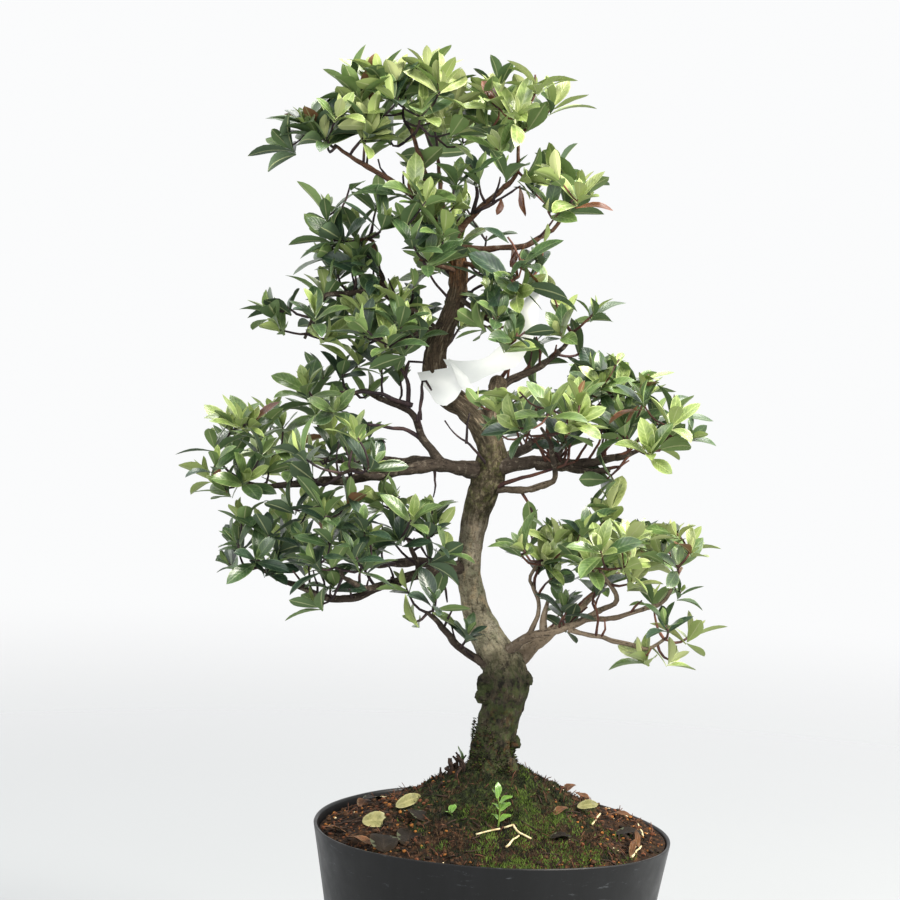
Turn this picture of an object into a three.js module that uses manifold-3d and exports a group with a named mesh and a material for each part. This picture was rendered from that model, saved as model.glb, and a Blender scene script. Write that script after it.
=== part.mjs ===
// An azalea bonsai in a soft black training pot, as named solids.
// Millimetres, +Z up, +X to the viewer's right, +Y away from the viewer.
// The origin is the centre of the pot's flat underside.
import * as THREE from 'three';
import { mergeVertices } from 'three/addons/utils/BufferGeometryUtils.js';
import Module from 'manifold-3d';

const wasm = await Module();
wasm.setup();

// Clearance between solids that touch on the real plant
const GAP = 0.3;

// Pot
const POT_HEIGHT = 121;
const RIM_RADIUS = 89.3;
const FOOT_RADIUS = 68;
const POT_WALL = 1.8;
const POT_FLOOR = 3;
const FOOT_ROUND = 2.5;
const POT_SIDES = 36;
const RIM_TILT = 1.6;
const RIM_TILT_TOWARDS = THREE.MathUtils.degToRad(186);
const RIM_WAVE = 1.2;
const RIM_WAVE_TOWARDS = THREE.MathUtils.degToRad(98);
const RIM_WARP_FROM = 90;
const DRAIN_HOLES = 6;
const DRAIN_RADIUS = 6;
const DRAIN_RING = 46;
const DRAIN_SIDES = 8;

// Soil, a mossy mound that rises to the foot of the trunk
const GROUND = 149;
const SOIL_EDGE = 117.5;
const SOIL_WALL_GAP = 0.7;
const MOUND_TOP_RADIUS = 16;
const MOUND_RINGS = 7;
const MOUND_POWER = 1.3;
const SOIL_LUMPS = 64;
const LUMP_HEIGHT = 2.2;
const LUMP_RADIUS = 11;

// Trunk: where it bends and its radius there, from the soil to its tip
const TRUNK_BENDS = [
  { at: [-1.5, 0, GROUND], radius: 10.2 },
  { at: [-1.5, 0, 160], radius: 9.6 },
  { at: [2, -1, 180], radius: 9.7 },
  { at: [4, -3, 196], radius: 11.2 },
  { at: [-11, 2, 225], radius: 7 },
  { at: [-17, 5, 248], radius: 5.8 },
  { at: [-15, 3, 275], radius: 6.5 },
  { at: [-9, 0, 298], radius: 8.4 },
  { at: [-9, 0, 312], radius: 6.3 },
  { at: [-17, 3, 325], radius: 6 },
  { at: [-36, 7, 340], radius: 5.7 },
  { at: [-38, 7, 355], radius: 5.4 },
  { at: [-29, 3, 382], radius: 4.5 },
  { at: [-29, 1, 402], radius: 4.2 },
  { at: [-40, 0, 427], radius: 2.6 },
];
const TRUNK_SIDES = 10;
const TRUNK_STEPS = 27;
const FLARE = 3.6;
const FLARE_HEIGHT = 7;
const ROOT_SPURS = 5;
const ROOT_SPUR_DEPTH = 0.45;
const SEARCH_ROUNDS = 30;

// Knobs and one dead fork that were cut back, fused to the trunk:
// the height they leave it at, where they end, and their radius at both ends
const STUBS = [
  { height: 190, end: [-8, -6, 194], radii: [5, 3.2] },
  { height: 193, end: [16.5, -5, 198], radii: [5, 3.8] },
  { height: 162, end: [12, -3, 165], radii: [4.5, 2.8] },
  { height: 314, end: [-6, 3, 346], radii: [5.2, 4.2] },
];
const STUB_SIDES = 7;
const STUB_STEPS = 1;

// Boughs: the limb each one leaves and where, the bends it passes, its tip, and its radius at both ends.
// The place on the trunk is a height, and on another bough a share of its length.
const BOUGHS = [
  { name: 'foot_left', on: 'trunk', at: 199, bends: [[-18, -8, 210]],
    tip: [-30, -15, 224], radii: [2.5, 1.8] },
  { name: 'low_right', on: 'trunk', at: 206, bends: [[11, -13, 218], [31, -17, 225]],
    tip: [48, -18, 235], radii: [2.7, 1.7] },
  { name: 'low_right_riser', on: 'low_right', at: 0.36, bends: [[18, -17, 236]],
    tip: [14, -20, 246], radii: [1.4, 1.1] },
  { name: 'low_right_outer', on: 'low_right', at: 0.84, bends: [[58, -23, 233]],
    tip: [70, -25, 238], radii: [1.5, 1.2] },
  { name: 'low_right_under', on: 'low_right', at: 0.68, bends: [[52, -21, 221]],
    tip: [67, -22, 218], radii: [1.5, 1.2] },
  { name: 'low_right_back', on: 'trunk', at: 200, bends: [[19, 6, 213], [36, 22, 226]],
    tip: [50, 32, 238], radii: [4.2, 1.6] },
  { name: 'low_left', on: 'trunk', at: 251, bends: [[-46, -10, 246], [-80, -20, 235]],
    tip: [-103, -22, 242], radii: [3.6, 1.5] },
  { name: 'low_left_front', on: 'low_left', at: 0.52, bends: [[-68, -26, 242]],
    tip: [-75, -36, 247], radii: [1.8, 1.4] },
  { name: 'low_left_inner', on: 'low_left', at: 0.3, bends: [[-43, -14, 254]],
    tip: [-46, -16, 262], radii: [1.7, 1.3] },
  { name: 'low_left_back', on: 'trunk', at: 247, bends: [[-40, 18, 250], [-64, 33, 246]],
    tip: [-80, 40, 248], radii: [3.2, 1.6] },
  { name: 'mid_left', on: 'trunk', at: 299, bends: [[-38, -10, 301], [-74, -16, 294]],
    tip: [-112, -16, 289], radii: [4.2, 1.7] },
  { name: 'mid_left_front', on: 'mid_left', at: 0.45, bends: [[-65, -30, 297]],
    tip: [-73, -40, 300], radii: [2, 1.4] },
  { name: 'mid_left_riser', on: 'mid_left', at: 0.23, bends: [[-42, -7, 314], [-50, -2, 327]],
    tip: [-66, 2, 333], radii: [2.5, 1.5] },
  { name: 'mid_left_back', on: 'trunk', at: 296, bends: [[-34, 18, 300], [-68, 37, 298]],
    tip: [-86, 44, 297], radii: [3.6, 1.7] },
  { name: 'mid_right', on: 'trunk', at: 300, bends: [[11, -8, 305], [35, -17, 306]],
    tip: [52, -20, 310], radii: [4, 1.9] },
  { name: 'mid_right_low', on: 'trunk', at: 290, bends: [[8, -11, 292], [22, -22, 298]],
    tip: [20, -33, 312], radii: [2.2, 1.4] },
  { name: 'mid_right_top', on: 'mid_right', at: 0.5, bends: [[30, -9, 319]],
    tip: [42, -4, 331], radii: [1.9, 1.4] },
  { name: 'mid_right_back', on: 'trunk', at: 303, bends: [[8, 18, 309], [21, 34, 316]],
    tip: [28, 42, 321], radii: [3.4, 1.7] },
  { name: 'upper_right', on: 'trunk', at: 320, bends: [[-4, 6, 341], [14, 8, 351]],
    tip: [23, 8, 359], radii: [2.6, 1.6] },
  { name: 'shoulder_left', on: 'trunk', at: 364, bends: [[-50, 0, 375], [-67, -4, 385]],
    tip: [-84, -6, 383], radii: [2.9, 1.5] },
  { name: 'upper_left_riser', on: 'shoulder_left', at: 0.62, bends: [[-68, -6, 398]],
    tip: [-70, -8, 407], radii: [1.7, 1.3] },
  { name: 'crown_right', on: 'trunk', at: 407, bends: [[-11, -7, 408], [4, -10, 411]],
    tip: [14, -9, 417], radii: [2.1, 1.3] },
  { name: 'crown_right_riser', on: 'trunk', at: 412, bends: [[-22, -2, 424]],
    tip: [-8, -6, 438], radii: [2, 1.4] },
  { name: 'crown_left', on: 'trunk', at: 415, bends: [[-52, -5, 432]],
    tip: [-78, -8, 447], radii: [2.1, 1.4] },
];
const BOUGH_SIDES = 6;
const BOUGH_STEP = 21;

// White paper tag, left bare, that is looped round the trunk and hangs out to the right
const TAG_WIDTH = 11;
const TAG_THICKNESS = 0.6;
const TAG_STEPS = 10;
const TAG_BENDS = [
  [-44.5, 6, 342],
  [-40, 0.2, 341],
  [-33, -0.4, 340],
  [-22, -3, 344],
  [-8, -7, 349],
  [3, -8, 361],
  [7, -8, 378],
  [7.5, -8, 388],
];

// Foliage masses: the limb whose tip carries each one, or the trunk with a height,
// the middle of its space, how far its leaves reach along each axis, and how many tufts it has
const MASSES = [
  { name: 'foot_left', on: 'foot_left', middle: [-37, -20, 236], reach: [24, 22, 18], tufts: 3 },
  { name: 'low_right_inner', on: 'low_right_riser', middle: [16, -24, 264], reach: [23, 25, 21], tufts: 4 },
  { name: 'low_right_mid', on: 'low_right', middle: [46, -36, 264], reach: [27, 30, 25], tufts: 4 },
  { name: 'low_right_outer', on: 'low_right_outer', middle: [86, -22, 265], reach: [25, 30, 23], tufts: 4 },
  { name: 'low_right_under', on: 'low_right_under', middle: [80, -24, 230], reach: [28, 27, 22], tufts: 4 },
  { name: 'low_right_back', on: 'low_right_back', middle: [62, 40, 255], reach: [34, 32, 23], tufts: 4 },
  { name: 'low_left_outer', on: 'low_left', middle: [-121, -22, 257], reach: [25, 30, 23], tufts: 4 },
  { name: 'low_left_mid', on: 'low_left_front', middle: [-79, -46, 262], reach: [28, 28, 28], tufts: 4 },
  { name: 'low_left_inner', on: 'low_left_inner', middle: [-47, -22, 273], reach: [23, 26, 22], tufts: 4 },
  { name: 'low_left_back', on: 'low_left_back', middle: [-95, 45, 256], reach: [36, 32, 24], tufts: 4 },
  { name: 'mid_left_outer', on: 'mid_left', middle: [-131, -14, 300], reach: [28, 30, 30], tufts: 5 },
  { name: 'mid_left_front', on: 'mid_left_front', middle: [-80, -48, 306], reach: [38, 26, 23], tufts: 5 },
  { name: 'mid_left_up', on: 'mid_left_riser', middle: [-91, 6, 331], reach: [28, 30, 22], tufts: 4 },
  { name: 'mid_left_back', on: 'mid_left_back', middle: [-110, 50, 304], reach: [40, 32, 26], tufts: 4 },
  { name: 'shoulder_left', on: 'shoulder_left', middle: [-102, -6, 368], reach: [27, 30, 25], tufts: 4 },
  { name: 'shoulder_inner', on: 'trunk', at: 371, middle: [-62, -26, 366], reach: [25, 26, 22], tufts: 4 },
  { name: 'shoulder_back', on: 'trunk', at: 361, middle: [-68, 41, 367], reach: [36, 30, 24], tufts: 4 },
  { name: 'mid_right_front', on: 'mid_right_low', middle: [14, -46, 331], reach: [38, 28, 21], tufts: 5 },
  { name: 'mid_right_outer', on: 'mid_right', middle: [67, -23, 324], reach: [27, 28, 24], tufts: 4 },
  { name: 'mid_right_top', on: 'mid_right_top', middle: [51, 3, 346], reach: [25, 28, 23], tufts: 4 },
  { name: 'mid_right_back', on: 'mid_right_back', middle: [36, 51, 333], reach: [40, 32, 25], tufts: 4 },
  { name: 'right_shoulder', on: 'upper_right', middle: [29, 7, 375], reach: [23, 28, 20], tufts: 4 },
  { name: 'upper_right_low', on: 'trunk', at: 384, middle: [-7, -20, 375], reach: [22, 24, 18], tufts: 4 },
  { name: 'upper_right', on: 'trunk', at: 401, middle: [-1, -22, 401], reach: [26, 26, 20], tufts: 4 },
  { name: 'upper_left', on: 'upper_left_riser', middle: [-80, -10, 418], reach: [30, 30, 30], tufts: 5 },
  { name: 'upper_inner', on: 'trunk', at: 396, middle: [-47, -24, 410], reach: [20, 24, 28], tufts: 4 },
  { name: 'upper_back', on: 'trunk', at: 400, middle: [-32, 40, 406], reach: [38, 32, 30], tufts: 5 },
  { name: 'crown_right_out', on: 'crown_right', middle: [22, -6, 436], reach: [22, 26, 25], tufts: 4 },
  { name: 'crown_left', on: 'crown_left', middle: [-91, -6, 461], reach: [29, 28, 20], tufts: 4 },
  { name: 'crown_right', on: 'crown_right_riser', middle: [-2, -12, 471], reach: [28, 30, 31], tufts: 5 },
  { name: 'crown_top', on: 'trunk', middle: [-54, -8, 473], reach: [38, 30, 29], tufts: 6 },
  { name: 'crown_back', on: 'trunk', at: 420, middle: [-42, 42, 468], reach: [38, 30, 28], tufts: 4 },
];

// How a mass grows: one stem to its heart, a twig to each tuft, and a whorl of leaves on each twig
const FIRST_SEED = 41;
const STEM_RADIUS = 1.7;
const STEM_END_RADIUS = 1.3;
const STEM_STEPS = 2;
const STEM_LEAD = 0.3;
const HEART_DROP = 0.3;
const TWIG_RADIUS = 1.15;
const TWIG_END_RADIUS = 1.7;
const TWIG_SIDES = 3;
const TWIG_BUD = 0.6;
const STEM_BUDS = [0.65, 0.92];
const TUFT_LOWEST = -0.55;
const TUFT_DEPTH = [0.38, 0.6];
const RINGS_A_TUFT = 2;
const RING_SPREAD = [0.75, 1.25];
const RING_TURN = 0.4;
const LEAF_LENGTH = 32;
const LEAF_WIDTH = 14;
const LEAF_THICKNESS = 1;
const LEAF_WIDEST = 0.52;
const LEAF_SHARES = [1, 0.8, 0.64];
const LEAF_TURN = 0.12;
const BUD_LENGTH = 2;
const LEAF_STAGGER = 1;
const LEAF_SUNK = 0.3;
const TIP_REACH = 1.15;
const MASS_CLEARANCE = 0.35;
const SMALLEST_EDGE = 0.03;

// Colours and finishes
const POT_LOOK = { color: 0x2c2e31, roughness: 0.62, metalness: 0 };
const SOIL_LOOK = { color: 0x5a5136, roughness: 0.95, metalness: 0 };
const TRUNK_LOOK = { color: 0x75655a, roughness: 0.9, metalness: 0 };
const BOUGH_LOOK = { color: 0x66524a, roughness: 0.9, metalness: 0 };
const TAG_LOOK = { color: 0xe6e9e8, roughness: 0.6, metalness: 0 };
const LEAF_COLOURS = [0x3d5a2a, 0x4c6b31, 0x5f7f39, 0x37502c];
const LEAF_LOOK = { roughness: 0.45, metalness: 0 };

// Plain numbers of the seeded random walk
const RANDOM_STEP = 1664525;
const RANDOM_ADD = 1013904223;
const RANDOM_SPAN = 2 ** 32;
const SEED_SPREAD = 7919;
const GOLDEN_ANGLE = Math.PI * (3 - Math.sqrt(5));
const FULL_TURN = 2 * Math.PI;
const VIEWER = new THREE.Vector3(0, -1, 0);

const vector = ([x, y, z]) => new THREE.Vector3(x, y, z);
const lerp = THREE.MathUtils.lerp;

// A repeatable run of numbers from 0 to 1
function seeded(seed) {
  let state = (seed * SEED_SPREAD) % RANDOM_SPAN;
  return () => {
    state = (state * RANDOM_STEP + RANDOM_ADD) % RANDOM_SPAN;
    return state / RANDOM_SPAN;
  };
}

// The closed solid of a geometry, with its shared corners welded and its empty triangles dropped
function solidOf(geometry) {
  const bare = geometry.clone();
  bare.deleteAttribute('normal');
  bare.deleteAttribute('uv');
  const welded = mergeVertices(bare);
  const corners = [];
  for (let i = 0; i < welded.index.count; i += 3) {
    const [a, b, c] = [0, 1, 2].map((k) => welded.index.getX(i + k));
    if (a !== b && b !== c && c !== a) corners.push(a, b, c);
  }
  const mesh = new wasm.Mesh({
    numProp: 3,
    vertProperties: new Float32Array(welded.attributes.position.array),
    triVerts: new Uint32Array(corners),
  });
  return new wasm.Manifold(mesh);
}

// The geometry of a solid
function geometryOf(solid) {
  const mesh = solid.getMesh();
  const geometry = new THREE.BufferGeometry();
  geometry.setAttribute('position', new THREE.BufferAttribute(new Float32Array(mesh.vertProperties), 3));
  geometry.setIndex(new THREE.BufferAttribute(new Uint32Array(mesh.triVerts), 1));
  geometry.computeVertexNormals();
  return geometry;
}

// The largest body of a solid: loose scraps go, and a sealed hollow is filled
function mainBody(solid) {
  return solid.decompose().reduce((best, piece) => (piece.volume() > best.volume() ? piece : best));
}

function meshOf(name, solid, look) {
  const mesh = new THREE.Mesh(geometryOf(solid), new THREE.MeshStandardMaterial(look));
  mesh.name = name;
  return mesh;
}

// A closed tube along a curve, whose radius follows its share of the way and its angle round the axis
function tubeAlong(curve, radiusAt, sides, steps) {
  const frames = curve.computeFrenetFrames(steps, false);
  const points = curve.getSpacedPoints(steps);
  const geometry = new THREE.CylinderGeometry(1, 1, 1, sides, steps);
  const position = geometry.attributes.position;
  for (let i = 0; i < position.count; i++) {
    const step = Math.round((position.getY(i) + 0.5) * steps);
    const [across, along] = [position.getX(i), position.getZ(i)];
    const radius = radiusAt(step / steps, Math.atan2(along, across));
    const place = points[step].clone();
    place.addScaledVector(frames.normals[step], across * radius);
    place.addScaledVector(frames.binormals[step], -along * radius);
    position.setXYZ(i, place.x, place.y, place.z);
  }
  return solidOf(geometry);
}

const curveThrough = (points) => new THREE.CatmullRomCurve3(points, false, 'centripetal');

// A straight or bent limb that tapers evenly
function taperedLimb(curve, [rootRadius, tipRadius], sides, steps, extra = 0) {
  return tubeAlong(curve, (share) => lerp(rootRadius, tipRadius, share) + extra, sides, steps);
}

// Pot

const outerRadius = (height) => lerp(FOOT_RADIUS, RIM_RADIUS, height / POT_HEIGHT);
const innerRadius = (height) => outerRadius(height) - POT_WALL;

// How far the soft rim stands above or below its true height, at an angle round the pot
function rimWarp(angle) {
  const tilt = RIM_TILT * Math.cos(angle - RIM_TILT_TOWARDS);
  return tilt + RIM_WAVE * Math.cos(2 * (angle - RIM_WAVE_TOWARDS));
}

// A full turn of a radius and height outline, about the Z axis
function turned(outline, sides) {
  const points = outline.map(([radius, height]) => new THREE.Vector2(radius, height));
  return new THREE.LatheGeometry(points, sides).rotateX(Math.PI / 2);
}

function potSolid() {
  const shell = turned([
    [0, 0],
    [FOOT_RADIUS - FOOT_ROUND, 0],
    [outerRadius(FOOT_ROUND), FOOT_ROUND],
    [outerRadius(RIM_WARP_FROM), RIM_WARP_FROM],
    [RIM_RADIUS, POT_HEIGHT],
    [innerRadius(POT_HEIGHT), POT_HEIGHT],
    [innerRadius(RIM_WARP_FROM), RIM_WARP_FROM],
    [innerRadius(POT_FLOOR), POT_FLOOR],
    [0, POT_FLOOR],
  ], POT_SIDES);
  const position = shell.attributes.position;
  for (let i = 0; i < position.count; i++) {
    const [x, y, z] = [position.getX(i), position.getY(i), position.getZ(i)];
    const share = Math.max(0, (z - RIM_WARP_FROM) / (POT_HEIGHT - RIM_WARP_FROM));
    position.setZ(i, z + share * rimWarp(Math.atan2(y, x)));
  }
  const drains = [];
  for (let k = 0; k < DRAIN_HOLES; k++) {
    const angle = (k / DRAIN_HOLES) * FULL_TURN;
    const drain = new THREE.CylinderGeometry(DRAIN_RADIUS, DRAIN_RADIUS, 4 * POT_FLOOR, DRAIN_SIDES);
    drain.rotateX(Math.PI / 2);
    drain.translate(DRAIN_RING * Math.cos(angle), DRAIN_RING * Math.sin(angle), 0);
    drains.push(solidOf(drain));
  }
  return solidOf(shell).subtract(wasm.Manifold.union(drains));
}

// Soil

// The mound's height at a distance from the trunk: level under it, then falling away to the wall
function moundHeight(radius, edgeRadius) {
  const span = edgeRadius - MOUND_TOP_RADIUS;
  const share = THREE.MathUtils.clamp((radius - MOUND_TOP_RADIUS) / span, 0, 1);
  return lerp(GROUND - GAP, SOIL_EDGE, 1 - (1 - share) ** MOUND_POWER);
}

// How far the lumps of moss and soil stand up at a place. They lie on a spiral, evenly apart.
function lumpHeight(x, y, edgeRadius) {
  let height = 0;
  for (let k = 0; k < SOIL_LUMPS; k++) {
    const radius = Math.sqrt((k + 0.5) / SOIL_LUMPS) * edgeRadius;
    const angle = k * GOLDEN_ANGLE;
    const apart = Math.hypot(x - radius * Math.cos(angle), y - radius * Math.sin(angle));
    height = Math.max(height, LUMP_HEIGHT * (1 - (apart / LUMP_RADIUS) ** 2));
  }
  return height;
}

function soilSolid() {
  const bottom = POT_FLOOR + GAP;
  const edgeRadius = innerRadius(SOIL_EDGE) - SOIL_WALL_GAP;
  const outline = [[0, bottom], [innerRadius(bottom) - SOIL_WALL_GAP, bottom]];
  for (let k = 0; k <= MOUND_RINGS; k++) {
    const radius = lerp(edgeRadius, MOUND_TOP_RADIUS, k / MOUND_RINGS);
    outline.push([radius, moundHeight(radius, edgeRadius)]);
  }
  outline.push([0, GROUND - GAP]);
  const plug = turned(outline, POT_SIDES);
  const position = plug.attributes.position;
  for (let i = 0; i < position.count; i++) {
    const [x, y, z] = [position.getX(i), position.getY(i), position.getZ(i)];
    const radius = Math.hypot(x, y);
    const onMound = z > SOIL_EDGE && radius > MOUND_TOP_RADIUS + GAP;
    if (onMound) position.setZ(i, z + lumpHeight(x, y, edgeRadius));
  }
  return solidOf(plug);
}

// Trunk

const trunkCurve = curveThrough(TRUNK_BENDS.map((bend) => vector(bend.at)));

// The share of the trunk's length at a height
function trunkShareAt(height) {
  let [low, high] = [0, 1];
  for (let round = 0; round < SEARCH_ROUNDS; round++) {
    const middle = (low + high) / 2;
    if (trunkCurve.getPointAt(middle).z < height) low = middle;
    else high = middle;
  }
  return low;
}

const bendShares = TRUNK_BENDS.map((bend) => trunkShareAt(vector(bend.at).z));

// The trunk's radius at a share of its length, with spurs of root at its foot
function trunkRadius(share, angle) {
  const next = Math.max(1, bendShares.findIndex((bendShare) => bendShare >= share));
  const span = bendShares[next] - bendShares[next - 1];
  const within = THREE.MathUtils.clamp((share - bendShares[next - 1]) / span, 0, 1);
  const radius = lerp(TRUNK_BENDS[next - 1].radius, TRUNK_BENDS[next].radius, within);
  const height = trunkCurve.getPointAt(share).z - GROUND;
  const spur = 1 + ROOT_SPUR_DEPTH * Math.cos(ROOT_SPURS * angle);
  return radius + FLARE * spur * Math.exp(-height / FLARE_HEIGHT);
}

// The trunk with its knobs, made fatter by extra for the space that it keeps free
function trunkSolid(extra = 0) {
  const tube = tubeAlong(trunkCurve, (share, angle) => trunkRadius(share, angle) + extra,
    TRUNK_SIDES, TRUNK_STEPS);
  const stubs = STUBS.map((stub) => {
    const root = trunkCurve.getPointAt(trunkShareAt(stub.height));
    const end = vector(stub.end);
    end.addScaledVector(end.clone().sub(root).normalize(), extra);
    return taperedLimb(curveThrough([root, end]), stub.radii, STUB_SIDES, STUB_STEPS, extra);
  });
  return wasm.Manifold.union([tube, ...stubs]);
}

// Boughs

const limbs = new Map();
limbs.set('trunk', { curve: trunkCurve, solid: trunkSolid(), space: trunkSolid(GAP) });

// The point of a limb that something leaves it at: a height on the trunk, or a share of a bough
function pointOn(name, at) {
  const share = name === 'trunk' ? trunkShareAt(at) : at;
  return limbs.get(name).curve.getPointAt(share);
}

// Each bough starts inside the limb that carries it and is cut clear of it
for (const row of BOUGHS) {
  const route = [pointOn(row.on, row.at), ...row.bends.map(vector), vector(row.tip)];
  const curve = curveThrough(route);
  const steps = Math.max(2, Math.round(curve.getLength() / BOUGH_STEP));
  const whole = taperedLimb(curve, row.radii, BOUGH_SIDES, steps);
  limbs.set(row.name, {
    curve,
    solid: mainBody(whole.subtract(limbs.get(row.on).space)),
    space: taperedLimb(curve, row.radii, BOUGH_SIDES, steps, GAP),
  });
}

// Paper tag

// A thin strip along a curve, with its width square to the curve and to the line of sight
function stripAlong(curve, width, thickness, steps) {
  const geometry = new THREE.BoxGeometry(1, 1, 1, steps, 1, 1);
  const position = geometry.attributes.position;
  for (let i = 0; i < position.count; i++) {
    const share = position.getX(i) + 0.5;
    const tangent = curve.getTangentAt(share);
    const across = new THREE.Vector3().crossVectors(tangent, VIEWER).normalize();
    const through = new THREE.Vector3().crossVectors(tangent, across);
    const place = curve.getPointAt(share);
    place.addScaledVector(across, position.getY(i) * width);
    place.addScaledVector(through, position.getZ(i) * thickness);
    position.setXYZ(i, place.x, place.y, place.z);
  }
  return solidOf(geometry);
}

function tagSolid() {
  const strip = stripAlong(curveThrough(TAG_BENDS.map(vector)), TAG_WIDTH, TAG_THICKNESS, TAG_STEPS);
  return mainBody(strip.subtract(limbs.get('trunk').space));
}

// Foliage masses

for (const row of MASSES) {
  row.centre = vector(row.middle);
  row.extent = vector(row.reach);
}

// Whether a point lies in a mass's own space: within its reach, and on its side of each neighbour
function inOwnSpace(row, point) {
  const offset = point.clone().sub(row.centre);
  if (offset.clone().divide(row.extent).length() > TIP_REACH) return false;
  return MASSES.every((other) => {
    if (other === row) return true;
    const between = other.centre.clone().sub(row.centre);
    const distance = between.length();
    between.normalize();
    const own = between.clone().multiply(row.extent).length();
    const theirs = between.clone().multiply(other.extent).length();
    return offset.dot(between) < (distance * own) / (own + theirs) - MASS_CLEARANCE;
  });
}

// The stem of a mass, from its limb's tip or out of the trunk's side, to the heart of the mass
function stemCurve(row) {
  const heart = row.centre.clone();
  heart.z -= HEART_DROP * row.extent.z;
  if (row.at) return curveThrough([pointOn(row.on, row.at), heart]);
  const limb = limbs.get(row.on).curve;
  const heading = limb.getTangentAt(1);
  const start = limb.getPointAt(1).addScaledVector(heading, GAP);
  const lead = start.clone().addScaledVector(heading, STEM_LEAD * start.distanceTo(heart));
  return curveThrough([start, lead, heart]);
}

function stemSolid(row, extra = 0) {
  const stem = taperedLimb(row.stem, [STEM_RADIUS, STEM_END_RADIUS], TWIG_SIDES, STEM_STEPS, extra);
  return row.at ? mainBody(stem.subtract(limbs.get(row.on).space)) : stem;
}

// Places for the tufts, on a spiral from the top of the mass to a little under its middle
function tuftSites(row, random) {
  const start = random() * FULL_TURN;
  const sites = [];
  for (let k = 0; k < row.tufts; k++) {
    const rise = lerp(1, TUFT_LOWEST, (k + 0.5) / row.tufts);
    const level = Math.sqrt(1 - rise * rise);
    const angle = start + k * GOLDEN_ANGLE;
    const out = new THREE.Vector3(level * Math.cos(angle), level * Math.sin(angle), rise);
    const depth = lerp(TUFT_DEPTH[0], TUFT_DEPTH[1], random());
    sites.push(out.multiply(row.extent).multiplyScalar(depth).add(row.centre));
  }
  return sites;
}

// A thin pointed leaf with a keel, six faces, whose root is at the origin and tip along +X
function leafGeometry(share) {
  const length = share * LEAF_LENGTH;
  const outline = [[0, 0], [1, LEAF_WIDEST * length], [0, length]];
  const points = outline.map(([radius, along]) => new THREE.Vector2(radius, along));
  const leaf = new THREE.LatheGeometry(points, TWIG_SIDES);
  leaf.scale(share * LEAF_WIDTH / Math.sqrt(3), 1, LEAF_THICKNESS * 2 / 3);
  return leaf.rotateZ(-Math.PI / 2);
}

// Whether every corner of a geometry lies in the mass's own space
function staysInside(row, geometry) {
  const position = geometry.attributes.position;
  const corner = new THREE.Vector3();
  for (let i = 0; i < position.count; i++) {
    if (!inOwnSpace(row, corner.fromBufferAttribute(position, i))) return false;
  }
  return true;
}

// One leaf of a whorl, as long as its space lets it be, or nothing
function growLeaf(row, root, heading, axis, taken) {
  const side = new THREE.Vector3().crossVectors(axis, heading).normalize();
  const face = new THREE.Vector3().crossVectors(heading, side);
  const placed = new THREE.Matrix4().makeBasis(heading, side, face);
  placed.setPosition(root.clone().addScaledVector(heading, -LEAF_SUNK));
  for (const share of LEAF_SHARES) {
    const leaf = leafGeometry(share).applyMatrix4(placed);
    if (staysInside(row, leaf)) {
      const solid = solidOf(leaf);
      if (solid.intersect(taken).isEmpty()) return solid;
    }
  }
  return null;
}

// The leaves at the end of a twig, in an upright ring over a flatter one.
// Both rings have a leaf on each side of the twig, turned a little apart.
function growWhorl(row, route, random, taken) {
  const frames = route.computeFrenetFrames(1, false);
  const [axis, firstSide] = [frames.tangents[1], frames.binormals[1]];
  const leaves = [];
  for (let k = 0; k < RINGS_A_TUFT * TWIG_SIDES; k++) {
    const ring = Math.floor(k / TWIG_SIDES);
    const ringTurn = ring ? RING_TURN : -RING_TURN;
    const turn = (k / TWIG_SIDES) * FULL_TURN + ringTurn + lerp(-LEAF_TURN, LEAF_TURN, random());
    const around = firstSide.clone().applyAxisAngle(axis, turn);
    const spread = RING_SPREAD[ring] + lerp(-LEAF_TURN, LEAF_TURN, random());
    const heading = axis.clone().multiplyScalar(Math.cos(spread));
    heading.addScaledVector(around, Math.sin(spread));
    const root = route.getPoint(1).addScaledVector(axis, -BUD_LENGTH - LEAF_STAGGER * k);
    const leaf = growLeaf(row, root, heading, axis, taken);
    if (leaf) leaves.push(leaf);
  }
  return leaves;
}

// A straight twig to each tuft, from the nearest bud on the wood that has grown, where the way is free
function growTwigs(row, random, obstacles) {
  const buds = STEM_BUDS.map((share) => row.stem.getPointAt(share));
  const twigs = [];
  for (const site of tuftSites(row, random)) {
    const [bud] = buds.sort((one, other) => one.distanceTo(site) - other.distanceTo(site));
    const route = curveThrough([bud, site]);
    const solid = taperedLimb(route, [TWIG_RADIUS, TWIG_END_RADIUS], TWIG_SIDES, 1);
    if (solid.intersect(obstacles).isEmpty()) {
      twigs.push({ route, solid });
      buds.push(route.getPointAt(TWIG_BUD));
    }
  }
  return twigs;
}

// A mass: its stem, its twigs, and each twig's leaves, which keep clear of the other wood and leaves
function massSolid(row, seed, obstacles) {
  const random = seeded(seed);
  const stem = stemSolid(row);
  const twigs = growTwigs(row, random, obstacles);
  const leaves = [];
  for (const twig of twigs) {
    const otherTwigs = twigs.filter((other) => other !== twig).map((other) => other.solid);
    const taken = wasm.Manifold.union([obstacles, stem, ...otherTwigs, ...leaves]);
    leaves.push(...growWhorl(row, twig.route, random, taken));
  }
  const whole = wasm.Manifold.union([stem, ...twigs.map((twig) => twig.solid), ...leaves]);
  return mainBody(whole.simplify(SMALLEST_EDGE));
}

// The whole plant

const bonsai = new THREE.Group();
const pot = new THREE.Group();
const wood = new THREE.Group();
const foliage = new THREE.Group();
bonsai.add(pot, wood, foliage);

pot.add(meshOf('pot', potSolid(), POT_LOOK));
pot.add(meshOf('soil', soilSolid(), SOIL_LOOK));

for (const [name, limb] of limbs) {
  const isTrunk = name === 'trunk';
  wood.add(meshOf(isTrunk ? name : `bough_${name}`, limb.solid, isTrunk ? TRUNK_LOOK : BOUGH_LOOK));
}

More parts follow.
